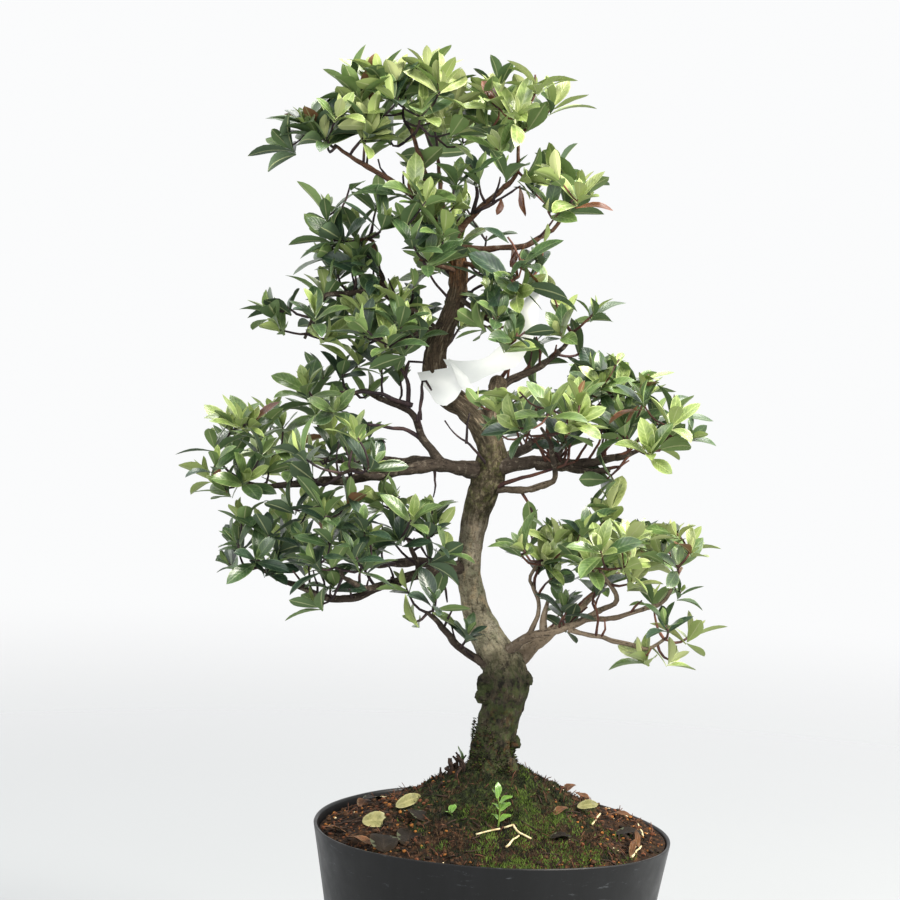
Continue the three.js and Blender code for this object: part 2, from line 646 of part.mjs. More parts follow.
const tag = tagSolid();
wood.add(meshOf('paper_tag', tag, TAG_LOOK));

for (const row of MASSES) row.stem = stemCurve(row);
const spaces = [...limbs.values()].map((limb) => limb.space);

MASSES.forEach((row, index) => {
  const otherStems = MASSES.filter((other) => other !== row).map((other) => stemSolid(other, GAP));
  const obstacles = wasm.Manifold.union([...spaces, tag, ...otherStems]);
  const colour = LEAF_COLOURS[index % LEAF_COLOURS.length];
  const solid = massSolid(row, FIRST_SEED + index, obstacles);
  foliage.add(meshOf(`foliage_${row.name}`, solid, { ...LEAF_LOOK, color: colour }));
});

export default bonsai;
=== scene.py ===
import math

import bpy
import numpy as np
from mathutils import Matrix, Vector, noise


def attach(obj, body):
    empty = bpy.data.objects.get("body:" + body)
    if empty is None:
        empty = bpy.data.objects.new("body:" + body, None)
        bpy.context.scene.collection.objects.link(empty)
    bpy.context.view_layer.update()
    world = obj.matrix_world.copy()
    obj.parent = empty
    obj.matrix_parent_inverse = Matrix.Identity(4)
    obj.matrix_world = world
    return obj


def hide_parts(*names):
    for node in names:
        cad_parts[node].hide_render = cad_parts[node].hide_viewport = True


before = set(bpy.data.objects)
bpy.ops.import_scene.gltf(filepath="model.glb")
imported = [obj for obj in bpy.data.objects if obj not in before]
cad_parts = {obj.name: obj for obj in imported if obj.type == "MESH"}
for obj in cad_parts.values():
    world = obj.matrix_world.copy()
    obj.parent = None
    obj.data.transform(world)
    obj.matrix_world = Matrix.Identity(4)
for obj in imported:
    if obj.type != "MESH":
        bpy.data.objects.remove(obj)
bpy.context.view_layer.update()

# An azalea bonsai in a soft black training pot.
# Shapes are in millimetres in the part's frame, and become metres when a piece is made.
MM = 0.001
FULL_TURN = 2 * math.pi
GOLDEN_ANGLE = math.pi * (3 - math.sqrt(5))
UP = np.array([0.0, 0.0, 1.0])

# Sizes repeated from the part's source
GAP = 0.3
POT_HEIGHT = 121
RIM_RADIUS = 89.3
FOOT_RADIUS = 68
POT_WALL = 1.8
POT_FLOOR = 3
FOOT_ROUND = 2.5
RIM_TILT = 1.6
RIM_TILT_TOWARDS = math.radians(186)
RIM_WAVE = 1.2
RIM_WAVE_TOWARDS = math.radians(98)
RIM_WARP_FROM = 90
DRAIN_HOLES = 6
DRAIN_RADIUS = 6
DRAIN_RING = 46
GROUND = 149
SOIL_EDGE = 117.5
SOIL_WALL_GAP = 0.7
MOUND_TOP_RADIUS = 16
MOUND_POWER = 1.3
SOIL_LUMPS = 64
LUMP_HEIGHT = 2.2
LUMP_RADIUS = 11
FLARE = 3.6
FLARE_HEIGHT = 7
ROOT_SPURS = 5
ROOT_SPUR_DEPTH = 0.45

# Trunk bends: x, y, z and the radius there
TRUNK_BENDS = [
    (-1.5, 0, GROUND, 10.2), (-1.5, 0, 160, 9.6), (2, -1, 180, 9.7), (4, -3, 196, 11.2), (-11, 2, 225, 7),
    (-17, 5, 248, 5.8), (-15, 3, 275, 6.5), (-9, 0, 298, 8.4), (-9, 0, 312, 6.3), (-17, 3, 325, 6),
    (-36, 7, 340, 5.7), (-38, 7, 355, 5.4), (-29, 3, 382, 4.5), (-29, 1, 402, 4.2), (-40, 0, 427, 2.6),
]

# Knobs and a dead fork: the height they leave the trunk at, their end, and their radius at both ends
STUBS = [
    (187, (-11.3, -7.5, 188), 5, 3.2), (193, (-10.5, -7.5, 195.5), 5.2, 3.6), (193, (16.5, -5, 198), 5, 3.8),
    (162, (12, -3, 165), 4.5, 2.8), (314, (-6, 3, 346), 5.2, 4.2),
]

# Boughs: name, the limb that carries it and where, its bends and its tip, and its radius at both ends
BOUGHS = [
    ("foot_left", "trunk", 199, [(-18, -8, 210), (-30, -15, 224)], 2.5, 1.8),
    ("low_right", "trunk", 206, [(11, -13, 218), (31, -17, 225), (48, -18, 235)], 2.7, 1.7),
    ("low_right_riser", "low_right", 0.36, [(18, -17, 236), (14, -20, 246)], 1.4, 1.1),
    ("low_right_outer", "low_right", 0.84, [(58, -23, 233), (70, -25, 238)], 1.5, 1.2),
    ("low_right_under", "low_right", 0.68, [(52, -21, 221), (67, -22, 218)], 1.5, 1.2),
    ("low_right_back", "trunk", 200, [(19, 6, 213), (36, 22, 226), (50, 32, 238)], 4.2, 1.6),
    ("low_left", "trunk", 251, [(-46, -10, 246), (-80, -20, 235), (-103, -22, 242)], 3.6, 1.5),
    ("low_left_front", "low_left", 0.52, [(-68, -26, 242), (-75, -36, 247)], 1.8, 1.4),
    ("low_left_inner", "low_left", 0.3, [(-43, -14, 254), (-46, -16, 262)], 1.7, 1.3),
    ("low_left_back", "trunk", 247, [(-40, 18, 250), (-64, 33, 246), (-80, 40, 248)], 3.2, 1.6),
    ("mid_left", "trunk", 299, [(-38, -10, 301), (-74, -16, 294), (-112, -16, 289)], 4.2, 1.7),
    ("mid_left_front", "mid_left", 0.45, [(-65, -30, 297), (-73, -40, 300)], 2, 1.4),
    ("mid_left_riser", "mid_left", 0.23, [(-42, -7, 314), (-50, -2, 327), (-66, 2, 333)], 2.5, 1.5),
    ("mid_left_back", "trunk", 296, [(-34, 18, 300), (-68, 37, 298), (-86, 44, 297)], 3.6, 1.7),
    ("mid_right", "trunk", 300, [(11, -8, 305), (35, -17, 306), (52, -20, 310)], 4, 1.9),
    ("mid_right_low", "trunk", 290, [(8, -11, 292), (22, -22, 298), (20, -33, 312)], 2.2, 1.4),
    ("mid_right_top", "mid_right", 0.5, [(30, -9, 319), (42, -4, 331)], 1.9, 1.4),
    ("mid_right_back", "trunk", 303, [(8, 18, 309), (21, 34, 316), (28, 42, 321)], 3.4, 1.7),
    ("upper_right", "trunk", 320, [(-4, 6, 341), (14, 8, 351), (23, 8, 359)], 2.6, 1.6),
    ("shoulder_left", "trunk", 364, [(-50, 0, 375), (-67, -4, 385), (-84, -6, 383)], 2.9, 1.5),
    ("upper_left_riser", "shoulder_left", 0.62, [(-68, -6, 398), (-70, -8, 407)], 1.7, 1.3),
    ("crown_right", "trunk", 407, [(-11, -7, 408), (4, -10, 411), (14, -9, 417)], 2.1, 1.3),
    ("crown_right_riser", "trunk", 412, [(-22, -2, 424), (-8, -6, 438)], 2, 1.4),
    ("crown_left", "trunk", 415, [(-52, -5, 432), (-78, -8, 447)], 2.1, 1.4),
]

# Foliage masses: name, the limb whose tip carries it or its height on the trunk's side, its middle,
# its reach, its tufts in the source, how full the photo shows it, and how fresh and lit its green is, from 0
# to 1:
# partly the green of new growth, partly painted light, low on the shaded left and high on the lit right
MASSES = [
    ("foot_left", "foot_left", (-37, -20, 236), (24, 22, 18), 3, 0.8, 0.3),
    ("low_right_inner", "low_right_riser", (16, -24, 264), (23, 25, 21), 4, 1, 0.95),
    ("low_right_mid", "low_right", (46, -36, 264), (27, 30, 25), 4, 1.2, 1),
    ("low_right_outer", "low_right_outer", (86, -22, 265), (25, 30, 23), 4, 1.2, 1),
    ("low_right_under", "low_right_under", (80, -24, 230), (28, 27, 22), 4, 0.3, 0.7),
    ("low_right_back", "low_right_back", (62, 40, 255), (34, 32, 23), 4, 1, 0.6),
    ("low_left_outer", "low_left", (-121, -22, 257), (25, 30, 23), 4, 1.1, 0.15),
    ("low_left_mid", "low_left_front", (-79, -46, 262), (28, 28, 28), 4, 1.15, 0.1),
    ("low_left_inner", "low_left_inner", (-47, -22, 273), (23, 26, 22), 4, 1, 0.1),
    ("low_left_back", "low_left_back", (-95, 45, 256), (36, 32, 24), 4, 1, 0.35),
    ("mid_left_outer", "mid_left", (-131, -14, 300), (28, 30, 30), 5, 0.75, 0.57),
    ("mid_left_front", "mid_left_front", (-80, -48, 306), (38, 26, 23), 5, 0.4, 0.3),
    ("mid_left_up", "mid_left_riser", (-91, 6, 331), (28, 30, 22), 4, 0.78, 0.25),
    ("mid_left_back", "mid_left_back", (-110, 50, 304), (40, 32, 26), 4, 1, 0.4),
    ("shoulder_left", "shoulder_left", (-102, -6, 368), (27, 30, 25), 4, 0.68, 0.46),
    ("shoulder_inner", 371, (-62, -26, 366), (25, 26, 22), 4, 1, 0.42),
    ("shoulder_back", 361, (-68, 41, 367), (36, 30, 24), 4, 1, 0.35),
    ("mid_right_front", "mid_right_low", (14, -46, 331), (38, 28, 21), 5, 1, 0.52),
    ("mid_right_outer", "mid_right", (67, -23, 324), (27, 28, 24), 4, 1.15, 0.5),
    ("mid_right_top", "mid_right_top", (51, 3, 346), (25, 28, 23), 4, 1.1, 0.55),
    ("mid_right_back", "mid_right_back", (36, 51, 333), (40, 32, 25), 4, 1, 0.5),
    ("right_shoulder", "upper_right", (29, 7, 375), (23, 28, 20), 4, 0.45, 0.8),
    ("upper_right_low", 384, (-7, -20, 375), (22, 24, 18), 4, 0.8, 0.45),
    ("upper_right", 401, (-1, -22, 401), (26, 26, 20), 4, 1, 0.4),
    ("upper_left", "upper_left_riser", (-80, -10, 418), (30, 30, 30), 5, 0.5, 0.52),
    ("upper_inner", 396, (-47, -24, 410), (20, 24, 28), 4, 1, 0.4),
    ("upper_back", 400, (-32, 40, 406), (38, 32, 30), 5, 1, 0.4),
    ("crown_right_out", "crown_right", (22, -6, 436), (22, 26, 25), 4, 0.85, 0.6),
    ("crown_left", "crown_left", (-91, -6, 461), (29, 28, 20), 4, 1, 0.65),
    ("crown_right", "crown_right_riser", (-2, -12, 471), (28, 30, 31), 5, 1.1, 0.82),
    ("crown_top", "trunk", (-54, -8, 473), (38, 30, 29), 6, 0.88, 0.72),
    ("crown_back", 420, (-42, 42, 468), (38, 30, 28), 4, 1, 0.5),
]

# Whorls that the photo shows apart from the rest: the mass that carries them, and the ends of their twigs
SEEN_WHORLS = {
    "foot_left": [(-43, -20, 225)],
    "low_right_mid": [(50, -30, 287)],
    "low_right_outer": [(86, -24, 246)],
    "low_right_under": [(69, -22, 213), (83, -22, 212)],
    "low_left_mid": [(-90, -32, 234), (-104, -34, 280), (-90, -40, 284), (-76, -40, 285)],
    "low_left_inner": [(-34, -20, 256), (-33, -18, 271), (-62, -24, 283)],
    "mid_left_outer": [(-126, -16, 319), (-135, -14, 317), (-138, -14, 286)],
    "mid_left_up": [(-75, 2, 351)],
    "shoulder_left": [(-118, -6, 373)],
    "mid_right_front": [(-16, -40, 334)],
    "mid_right_outer": [(47, -22, 299)],
    "upper_right_low": [(-3, -24, 362), (5, -22, 369)],
    "upper_right": [
        (6, -22, 392), (12, -18, 403), (-11, -22, 389), (0, -24, 387), (14, -20, 391), (-16, -22, 396),
    ],
    "upper_left": [(-66, -12, 415), (-75, -14, 396), (-90, -10, 402), (-92, -10, 410)],
    "upper_inner": [(-30, -14, 429), (-31, -16, 440), (-40, -16, 404)],
    "crown_left": [(-100, -8, 450), (-100, -9, 460), (-113, -8, 453), (-106, -8, 466)],
    "crown_right": [(-8, -14, 444), (4, -10, 443), (14, -8, 478), (-16, -10, 481)],
    "crown_top": [(-42, -8, 487), (-62, -10, 485), (-80, -8, 478), (-83, -8, 482), (-73, -8, 487)],
}

# Withered leaves that hang from twigs: their width, and the root and the length of each
WITHERED_WIDTH = 3.4
WITHERED = [
    ((-3, -10.5, 409), 15), ((-1, -10.5, 410), 11), ((3, -11.5, 411), 13), ((-0.5, -9.3, 438.5), 15),
    ((-9, -7, 433), 9),
]

# Openings where the photo shows sky, bare wood or the tag through the crown, on the trunk's plane:
# the lowest x and z, and the highest
SKY = [
    (-67, 394, -57, 418), (-43, 383, -35, 397), (-24, 388, -17, 400), (-25, 419, -17, 440),
    (-19, 434, -10, 447), (-16, 418, 12, 433), (13, 397, 41, 415), (3, 369, 13, 384), (-51, 349, -43, 360),
    (-71, 322, -52, 332), (-60, 305, -38, 318), (-39, 308, -15, 330), (-51, 332, -44, 346),
    (-53, 286, -19, 293), (-27, 261, -21, 279), (-8, 270, 9, 289), (13, 278, 39, 291), (-7, 216, 17, 252),
    (-31, 231, -23, 246), (-84, 448, -76, 458), (7, 462, 19, 478), (25, 449, 43, 467),
    (-123, 474, -100, 486), (-107, 432, -89, 453), (-121, 380, -107, 394), (18, 388, 44, 397),
    (38, 361, 73, 374), (84, 303, 101, 316), (-166, 303, -149, 326), (-152, 234, -143, 269),
    (-61, 213, -49, 231), (57, 279, 101, 292), (52, 231, 62, 243), (88, 247, 107, 261), (12, 342, 27, 353),
    (-124, 352, -108, 362), (98, 268, 110, 285), (-62, 332, -51, 341), (-3, 494, 14, 508),
    (-89, 437, -78, 447), (58, 353, 74, 362), (-38, 350, -29, 364), (-26, 341, 8, 358), (-20, 405, 8, 414),
    (-9, 396, 0, 405),
]

# Bare twigs that show in those openings: their bends, and their radius at both ends
SEEN_TWIGS = [
    ([(-39, -8, 310), (-48, -6, 317), (-59, -6, 319), (-70, -8, 320)], 1.3, 0.9),
    ([(-48, -4, 330), (-56, -3, 332), (-64, -3, 335), (-84, -4, 335)], 1.2, 0.7),
    ([(-44, -4, 323), (-44, -5, 334), (-43, -6, 343), (-39, -8, 338)], 1.0, 0.7),
    ([(-50, -2, 327), (-52, -2, 344), (-58, -2, 350), (-65, -3, 353)], 1.2, 0.7),
    ([(-52, -2, 344), (-51, -1, 351), (-43, 0, 351)], 0.9, 0.6),
    ([(-10, -6, 302), (-19, -12, 312), (-27, -14, 318), (-32, -14, 324)], 0.8, 0.5),
    ([(-21, -12, 313), (-21, -13, 321), (-20, -14, 328)], 0.7, 0.5),
    ([(-7, -3, 291), (8, -14, 298), (19, -18, 302), (32, -20, 307)], 1.2, 0.7),
    ([(7, -9, 290), (11, -11, 284), (13, -11, 279), (10, -11, 274)], 0.8, 0.5),
    ([(-5, 3, 345), (3, -4, 357), (13, -6, 363)], 1.1, 0.6),
    ([(-36, -10, 300), (-35, -11, 290), (-36, -12, 286)], 0.8, 0.5),
    ([(-34, -6, 248), (-29, -6, 242), (-27, -8, 234)], 0.9, 0.6),
    ([(-23, -2, 423), (-21, -5, 436), (-25, -7, 448)], 1.1, 0.7),
    ([(-22, -3, 425), (-10, -7, 432), (0, -9, 439)], 1.0, 0.6),
    ([(-13, -6, 430), (-11, -8, 437), (-10, -9, 443)], 0.8, 0.5),
    ([(-29, 3, 380), (-18, -5, 389), (-9, -8, 393)], 1.1, 0.7),
    ([(-30, 3, 380), (-42, -5, 394), (-43, -7, 400)], 0.9, 0.6),
    ([(26, -15, 305), (22, -20, 314), (24, -22, 319)], 0.9, 0.6),
    ([(19, -12, 305), (14, -19, 313), (10, -20, 318)], 0.9, 0.6),
    ([(32, -16, 306), (36, -22, 314), (38, -24, 319)], 0.9, 0.6),
    ([(44, -18, 308), (47, -22, 314), (52, -24, 320)], 0.9, 0.6),
    ([(17, -10, 305), (21, -15, 313), (29, -18, 321)], 0.9, 0.6),
    ([(29, -15, 306), (29, -20, 315), (32, -22, 323)], 0.8, 0.5),
    ([(38, -17, 307), (43, -20, 316), (44, -22, 324)], 0.9, 0.6),
    ([(22, -13, 306), (17, -18, 316), (18, -20, 324)], 0.8, 0.5),
    ([(50, -19, 310), (58, -22, 314), (63, -24, 321)], 1.0, 0.6),
    ([(14, -9, 304), (30, -16, 303.5), (41, -18, 302.5), (49, -20, 304)], 2.8, 1.7),
    ([(45, -19, 303), (49, -20, 301.5), (51, -20, 299)], 0.9, 0.5),
    ([(46, -19, 303.5), (54, -21, 306), (58, -22, 309)], 0.9, 0.5),
    ([(21, -15, 220), (20, -16, 229), (22, -17, 238)], 2.2, 1.1),
]

# Leafy shoots straight from the limbs: the limb, the stretch that bears them, and how many
SHOOTS = [
    ("trunk", 346, 426, 13), ("shoulder_left", 0.35, 1, 5), ("upper_left_riser", 0.1, 1, 4),
    ("crown_left", 0.2, 1, 4), ("crown_right", 0.35, 1, 3), ("crown_right_riser", 0.4, 1, 3),
    ("mid_left", 0.5, 1, 5), ("mid_left_riser", 0.6, 1, 4), ("low_left", 0.35, 0.95, 5),
    ("low_right", 0.55, 1, 4), ("low_right_riser", 0.6, 1, 2), ("mid_right", 0.4, 1, 4),
    ("mid_right_top", 0.4, 1, 3), ("upper_right", 0.6, 1, 3), ("low_left_inner", 0.3, 1, 2),
    ("foot_left", 0.5, 1, 2), ("low_right_back", 0.5, 1, 2), ("low_left_back", 0.5, 1, 2),
    ("mid_left_back", 0.5, 1, 3), ("mid_right_back", 0.5, 1, 3),
]

# Camera of the photograph, found from the pot's rim and the trunk
CAMERA = np.array([-28.8, -1300.0, 422.2])
CAMERA_PITCH = math.radians(5)
CAMERA_ROLL = math.radians(2.4)
CAMERA_LENS = 106.1
CAMERA_SENSOR = 36
# The camera sees this far, in metres
CAMERA_SIGHT = 30


# Numbers


def seeded(seed):
    """A repeatable run of numbers from 0 to 1, the same as in the source."""
    state = (seed * 7919) % 2**32

    def draw(low=0.0, high=1.0):
        nonlocal state
        state = (state * 1664525 + 1013904223) % 2**32
        return low + (high - low) * state / 2**32

    return draw


def scatter(draw, *spans):
    """A vector with each part drawn from its own span."""
    return np.array([draw(*span) for span in spans])


def lerp(a, b, share):
    return a + (b - a) * share


def clip(value):
    return min(1.0, max(0.0, value))


def unit(vectors):
    vectors = np.asarray(vectors, float)
    return vectors / np.maximum(np.linalg.norm(vectors, axis=-1, keepdims=True), 1e-9)


def distance(one, other):
    return np.linalg.norm(one - other)


def turns(sides):
    """Angles that share out a full turn."""
    return np.arange(sides) / sides * FULL_TURN


def level(angle):
    return np.array([math.cos(angle), math.sin(angle), 0.0])


def circle(radius, angles, height):
    """A ring of points, with one radius and height or one for each."""
    return np.stack([radius * np.cos(angles), radius * np.sin(angles), np.full(len(angles), height)], 1)


def square_to(heading):
    """Two directions that are square to a heading and to each other."""
    heading = unit(heading)
    helper = UP if abs(heading[2]) < 0.9 else np.array([1.0, 0, 0])
    first = unit(np.cross(helper, heading))
    return first, np.cross(heading, first)


def around(heading, angle):
    """A direction square to a heading, at an angle round it."""
    one, other = square_to(heading)
    return one * math.cos(angle) + other * math.sin(angle)


def rolled(face, heading, roll):
    return face * math.cos(roll) + np.cross(heading, face) * math.sin(roll)


def ring_noise(angle, reach, along):
    """Noise that meets itself again after a full turn."""
    return noise.noise((reach * math.cos(angle), reach * math.sin(angle), along))


def ground_noise(x, y, size, layer):
    """Noise over the ground in waves of a size. Each layer is another pattern."""
    return noise.noise((x / size, y / size, layer))


class Curve:
    """A centripetal curve through points, read by a share of its length, with radii at its ends or bends."""

    STEPS = 24

    def __init__(self, points, *radii):
        knots = [np.array(p, float) for p in points]
        knots = [2 * knots[0] - knots[1], *knots, 2 * knots[-1] - knots[-2]]
        rows = [knots[1][None]]
        t = np.linspace(0, 1, self.STEPS + 1)[1:, None]
        for a, b, c, d in zip(knots, knots[1:], knots[2:], knots[3:]):
            before, here, after = [math.sqrt(np.linalg.norm(q - p)) for p, q in ((a, b), (b, c), (c, d))]
            leave = here * ((b - a) / before - (c - a) / (before + here) + (c - b) / here)
            arrive = here * ((c - b) / here - (d - b) / (here + after) + (d - c) / after)
            bend = 3 * (c - b) - 2 * leave - arrive
            rows.append(b + leave * t + bend * t**2 + (2 * (b - c) + leave + arrive) * t**3)
        self.points = np.vstack(rows)
        self.along = lengths(self.points)
        self.length = self.along[-1]
        self.radii = radii
        self.shares = (0, 1)

    def at(self, share):
        where = np.asarray(share, float) * self.length
        return np.stack([np.interp(where, self.along, axis) for axis in self.points.T], -1)

    def heading(self, share):
        return unit(self.at(min(1, share + 0.01)) - self.at(max(0, share - 0.01)))

    def radius(self, share):
        return np.interp(share, self.shares, self.radii)


def lengths(points):
    """The length of a line up to each of its points."""
    return np.concatenate([[0], np.cumsum(np.linalg.norm(np.diff(points, axis=0), axis=1))])


# Meshes


class Heap:
    """Shapes that together become one object."""

    def __init__(self):
        self.verts, self.faces, self.kinds, self.uvs, self.count = [], [], [], [], 0

    def add(self, verts, groups, kinds=0, uv=None):
        """Vertices with a uv, and groups of faces that have as many corners and one kind of material each."""
        self.verts.append(np.asarray(verts, float))
        self.uvs.append(np.zeros((len(verts), 2)) if uv is None else uv)
        for group, kind in zip(groups, np.broadcast_to(kinds, len(groups))):
            self.faces.append(np.asarray(group, int) + self.count)
            self.kinds.append(np.full(len(group), kind))
        self.count += len(verts)


def make_object(name, heap, materials=(), smooth=True):
    mesh = bpy.data.meshes.new(name)
    verts = np.vstack(heap.verts) * MM
    loops = np.concatenate([group.ravel() for group in heap.faces])
    sizes = np.concatenate([np.full(len(group), group.shape[1]) for group in heap.faces])
    starts = np.concatenate([[0], np.cumsum(sizes)[:-1]])
    uv = np.vstack(heap.uvs)[loops]
    # a quad across a tube's seam goes on past a full turn, not back to nothing
    widest = np.maximum.reduceat(uv[:, 1], starts) - np.minimum.reduceat(uv[:, 1], starts)
    uv[:, 1] += (np.repeat(widest, sizes) > 0.5) & (uv[:, 1] < 0.5)
    mesh.vertices.add(len(verts))
    mesh.vertices.foreach_set("co", verts.ravel())
    mesh.loops.add(len(loops))
    mesh.loops.foreach_set("vertex_index", loops.astype(np.int32))
    mesh.polygons.add(len(sizes))
    mesh.polygons.foreach_set("loop_start", starts.astype(np.int32))
    mesh.polygons.foreach_set("material_index", np.concatenate(heap.kinds).astype(np.int32))
    mesh.polygons.foreach_set("use_smooth", np.full(len(sizes), smooth))
    mesh.uv_layers.new(name="grain").data.foreach_set("uv", uv.astype(np.float32).ravel())
    mesh.update(calc_edges=True)
    mesh.validate()
    for material in materials:
        mesh.materials.append(material)
    made = bpy.data.objects.new(name, mesh)
    bpy.context.scene.collection.objects.link(made)
    return made


def make_piece(name, heap, materials, nodes=(), smooth=True, sharp_from=None):
    """One mesh piece that rides on the plant, from all that a heap holds."""
    piece = make_object(name, heap, materials, smooth)
    if sharp_from is not None:
        piece.data.set_sharp_from_angle(angle=math.radians(sharp_from))
    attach(piece, "root")
    if nodes:
        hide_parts(*nodes)
    return piece


def ring_faces(rings, sides):
    """Quads that join rings of points, one ring after another."""
    i, j = np.meshgrid(np.arange(rings - 1) * sides, np.arange(sides), indexing="ij")
    k = (j + 1) % sides
    return np.stack([i + j, i + k, i + sides + k, i + sides + j], -1).reshape(-1, 4)


def fan(centre, first, sides, flip=False):
    """Triangles from one point to a ring of points."""
    j = np.arange(sides)
    ends = first + j, first + (j + 1) % sides
    return np.stack([np.full(sides, centre), *(ends[::-1] if flip else ends)], 1)


def add_shell(heap, rings, start, end, kind=0, uv=None):
    """A closed skin over rings of points, with one point at either end."""
    count, sides = len(rings), len(rings[0])
    last = count * sides
    caps = [fan(last, 0, sides, flip=True), fan(last + 1, last - sides, sides)]
    heap.add(np.vstack([*rings, start, end]), [ring_faces(count, sides), np.vstack(caps)], kind, uv)


def add_tube(heap, points, radii, kind=0):
    """A closed tube with a radius for each point and side, and a uv of its length and its angle."""
    headings = unit(np.gradient(points, axis=0))
    across = square_to(headings[0])[0]
    count, sides = radii.shape
    normals = []
    for heading in headings:
        # the cross direction turns as little as possible
        across = unit(across - heading * (across @ heading))
        normals.append([across])
    cos, sin = np.cos(turns(sides))[:, None], np.sin(turns(sides))[:, None]
    spokes = cos * normals + sin * np.cross(headings[:, None], normals)
    rings = points[:, None] + radii[..., None] * spokes
    along = lengths(points)
    uv = np.zeros((count * sides + 2, 2))
    uv[:-2, 0] = np.repeat(along, sides)
    uv[:-2, 1] = np.tile(np.arange(sides) / sides, count)
    uv[-1, 0] = along[-1]
    add_shell(heap, rings, points[:1], points[-1:], kind, uv)


# Knots make a twig wander and swell: their size, how far they swell it, and the most they shift it,
# in millimetres and as a share of its length
KNOT_SIZE = 5.0
KNOT_SWELL = 0.3
KNOT_SHIFT = 0.7
KNOT_SHIFT_SHARE = 0.06
# Without a seed, noise_vector takes one from the clock, and twigs differ from run to run
KNOT_SEED = 1
noise.seed_set(KNOT_SEED)


def add_twig(heap, curve, sides=6, step=4.0, kind=0):
    """A tapering twig that wanders and swells a little, as old buds make it do."""
    shares = np.linspace(0, 1, max(3, int(curve.length / step) + 1))
    line = curve.at(shares)
    knots = np.array([noise.noise_vector(Vector(point) / KNOT_SIZE) for point in line])
    girth = curve.radius(shares) * (1 + KNOT_SWELL * knots[:, 0])
    shift = min(KNOT_SHIFT, KNOT_SHIFT_SHARE * curve.length) * np.sin(math.pi * shares)
    add_tube(heap, line + knots * shift[:, None], np.repeat(girth[:, None], sides, 1), kind)


# Materials


def linear(colour):
    """A colour written as six hex digits, as the shader takes it."""
    parts = [int(colour[i:i + 2], 16) / 255 for i in (0, 2, 4)]
    return (*[p / 12.92 if p <= 0.04045 else ((p + 0.055) / 1.055) ** 2.4 for p in parts], 1)


class Look:
    """A material of nodes, built up step by step. Its lengths are in millimetres."""

    def __init__(self, name, roughness, specular):
        self.material = bpy.data.materials.new(name)
        self.material.use_nodes = True
        self.tree = self.material.node_tree
        self.shader = self.tree.nodes["Principled BSDF"]
        self.set("Roughness", roughness)
        self.set("Specular IOR Level", specular)
        place = self.tree.nodes.new("ShaderNodeTexCoord")
        self.place, self.uv = place.outputs["Object"], place.outputs["UV"]

    def feed(self, socket, value):
        if isinstance(value, bpy.types.NodeSocket):
            self.tree.links.new(value, socket)
        else:
            socket.default_value = linear(value) if isinstance(value, str) else value

    def set(self, name, value):
        self.feed(self.shader.inputs[name], value)

    def node(self, kind, inputs, out=0, **settings):
        """One output of a new node, whose inputs are given by name or number."""
        made = self.tree.nodes.new(kind)
        for key, value in settings.items():
            setattr(made, key, value)
        for key, value in inputs.items():
            self.feed(made.inputs[key], value)
        return made.outputs[out]

    def noise_at(self, place, detail, roughness):
        inputs = {"Vector": place, "Scale": 1.0, "Detail": float(detail), "Roughness": roughness}
        return self.node("ShaderNodeTexNoise", inputs)

    def noise(self, size, detail=3, roughness=0.55):
        """Noise of one size, or of a size along each axis."""
        sizes = size if isinstance(size, tuple) else (size,) * 3
        place = self.node("ShaderNodeMapping", {0: self.place, "Scale": [1 / (s * MM) for s in sizes]})
        return self.noise_at(place, detail, roughness)

    def grain_along(self, long, around, detail=5, roughness=0.6):
        """Noise drawn out along a limb, from its uv of length and angle."""
        angle = self.times(self.axis("Y", self.uv), FULL_TURN)
        place = self.node("ShaderNodeCombineXYZ", {
            "X": self.times(self.math("COSINE", angle), around),
            "Y": self.times(self.math("SINE", angle), around),
            "Z": self.math("DIVIDE", self.axis("X", self.uv), long),
        })
        return self.noise_at(place, detail, roughness)

    def ramp(self, fac, *stops):
        made = self.node("ShaderNodeValToRGB", {"Fac": fac})
        points = made.node.color_ramp.elements
        while len(points) < len(stops):
            points.new(0.5)
        for point, (place, colour) in zip(points, stops):
            point.position = place
            point.color = linear(colour) if isinstance(colour, str) else (colour, colour, colour, 1)
        return made

    def mix(self, fac, one, other, blend="MIX"):
        return self.node("ShaderNodeMix", {0: fac, 6: one, 7: other}, 2, data_type="RGBA", blend_type=blend)

    def tinted(self, tone, *rows, blend="MIX"):
        """A colour with others laid over it in turn, each as far as the product of its masks."""
        for colour, *masks in rows:
            tone = self.mix(self.times(*masks), tone, colour, blend)
        return tone

    def math(self, operation, one, other=0.0):
        return self.node("ShaderNodeMath", {0: one, 1: other}, operation=operation)

    def times(self, first, *others):
        for other in others:
            first = self.math("MULTIPLY", first, other)
        return first

    def sum(self, first, *others):
        for other in others:
            first = self.math("ADD", first, other)
        return first

    def axis(self, name, source=None):
        return self.node("ShaderNodeSeparateXYZ", {0: source or self.place}, name)

    def from_rib(self):
        """How far from a leaf's rib, 0.5 at its edge."""
        return self.math("ABSOLUTE", self.math("SUBTRACT", self.axis("Y", self.uv), 0.5))

    def distance(self, place):
        return self.node("ShaderNodeVectorMath", {0: place}, "Value", operation="LENGTH")

    def span(self, value, low, high):
        """0 at low, 1 at high, smooth between."""
        inputs = {"Value": value, "From Min": low, "From Max": high}
        return self.node("ShaderNodeMapRange", inputs, interpolation_type="SMOOTHSTEP")

    def done(self, tone, height, strength, depth):
        """The material, with its colour and with a relief."""
        self.set("Base Color", tone)
        inputs = {"Height": height, "Strength": strength, "Distance": depth * MM}
        self.set("Normal", self.node("ShaderNodeBump", inputs))
        return self.material


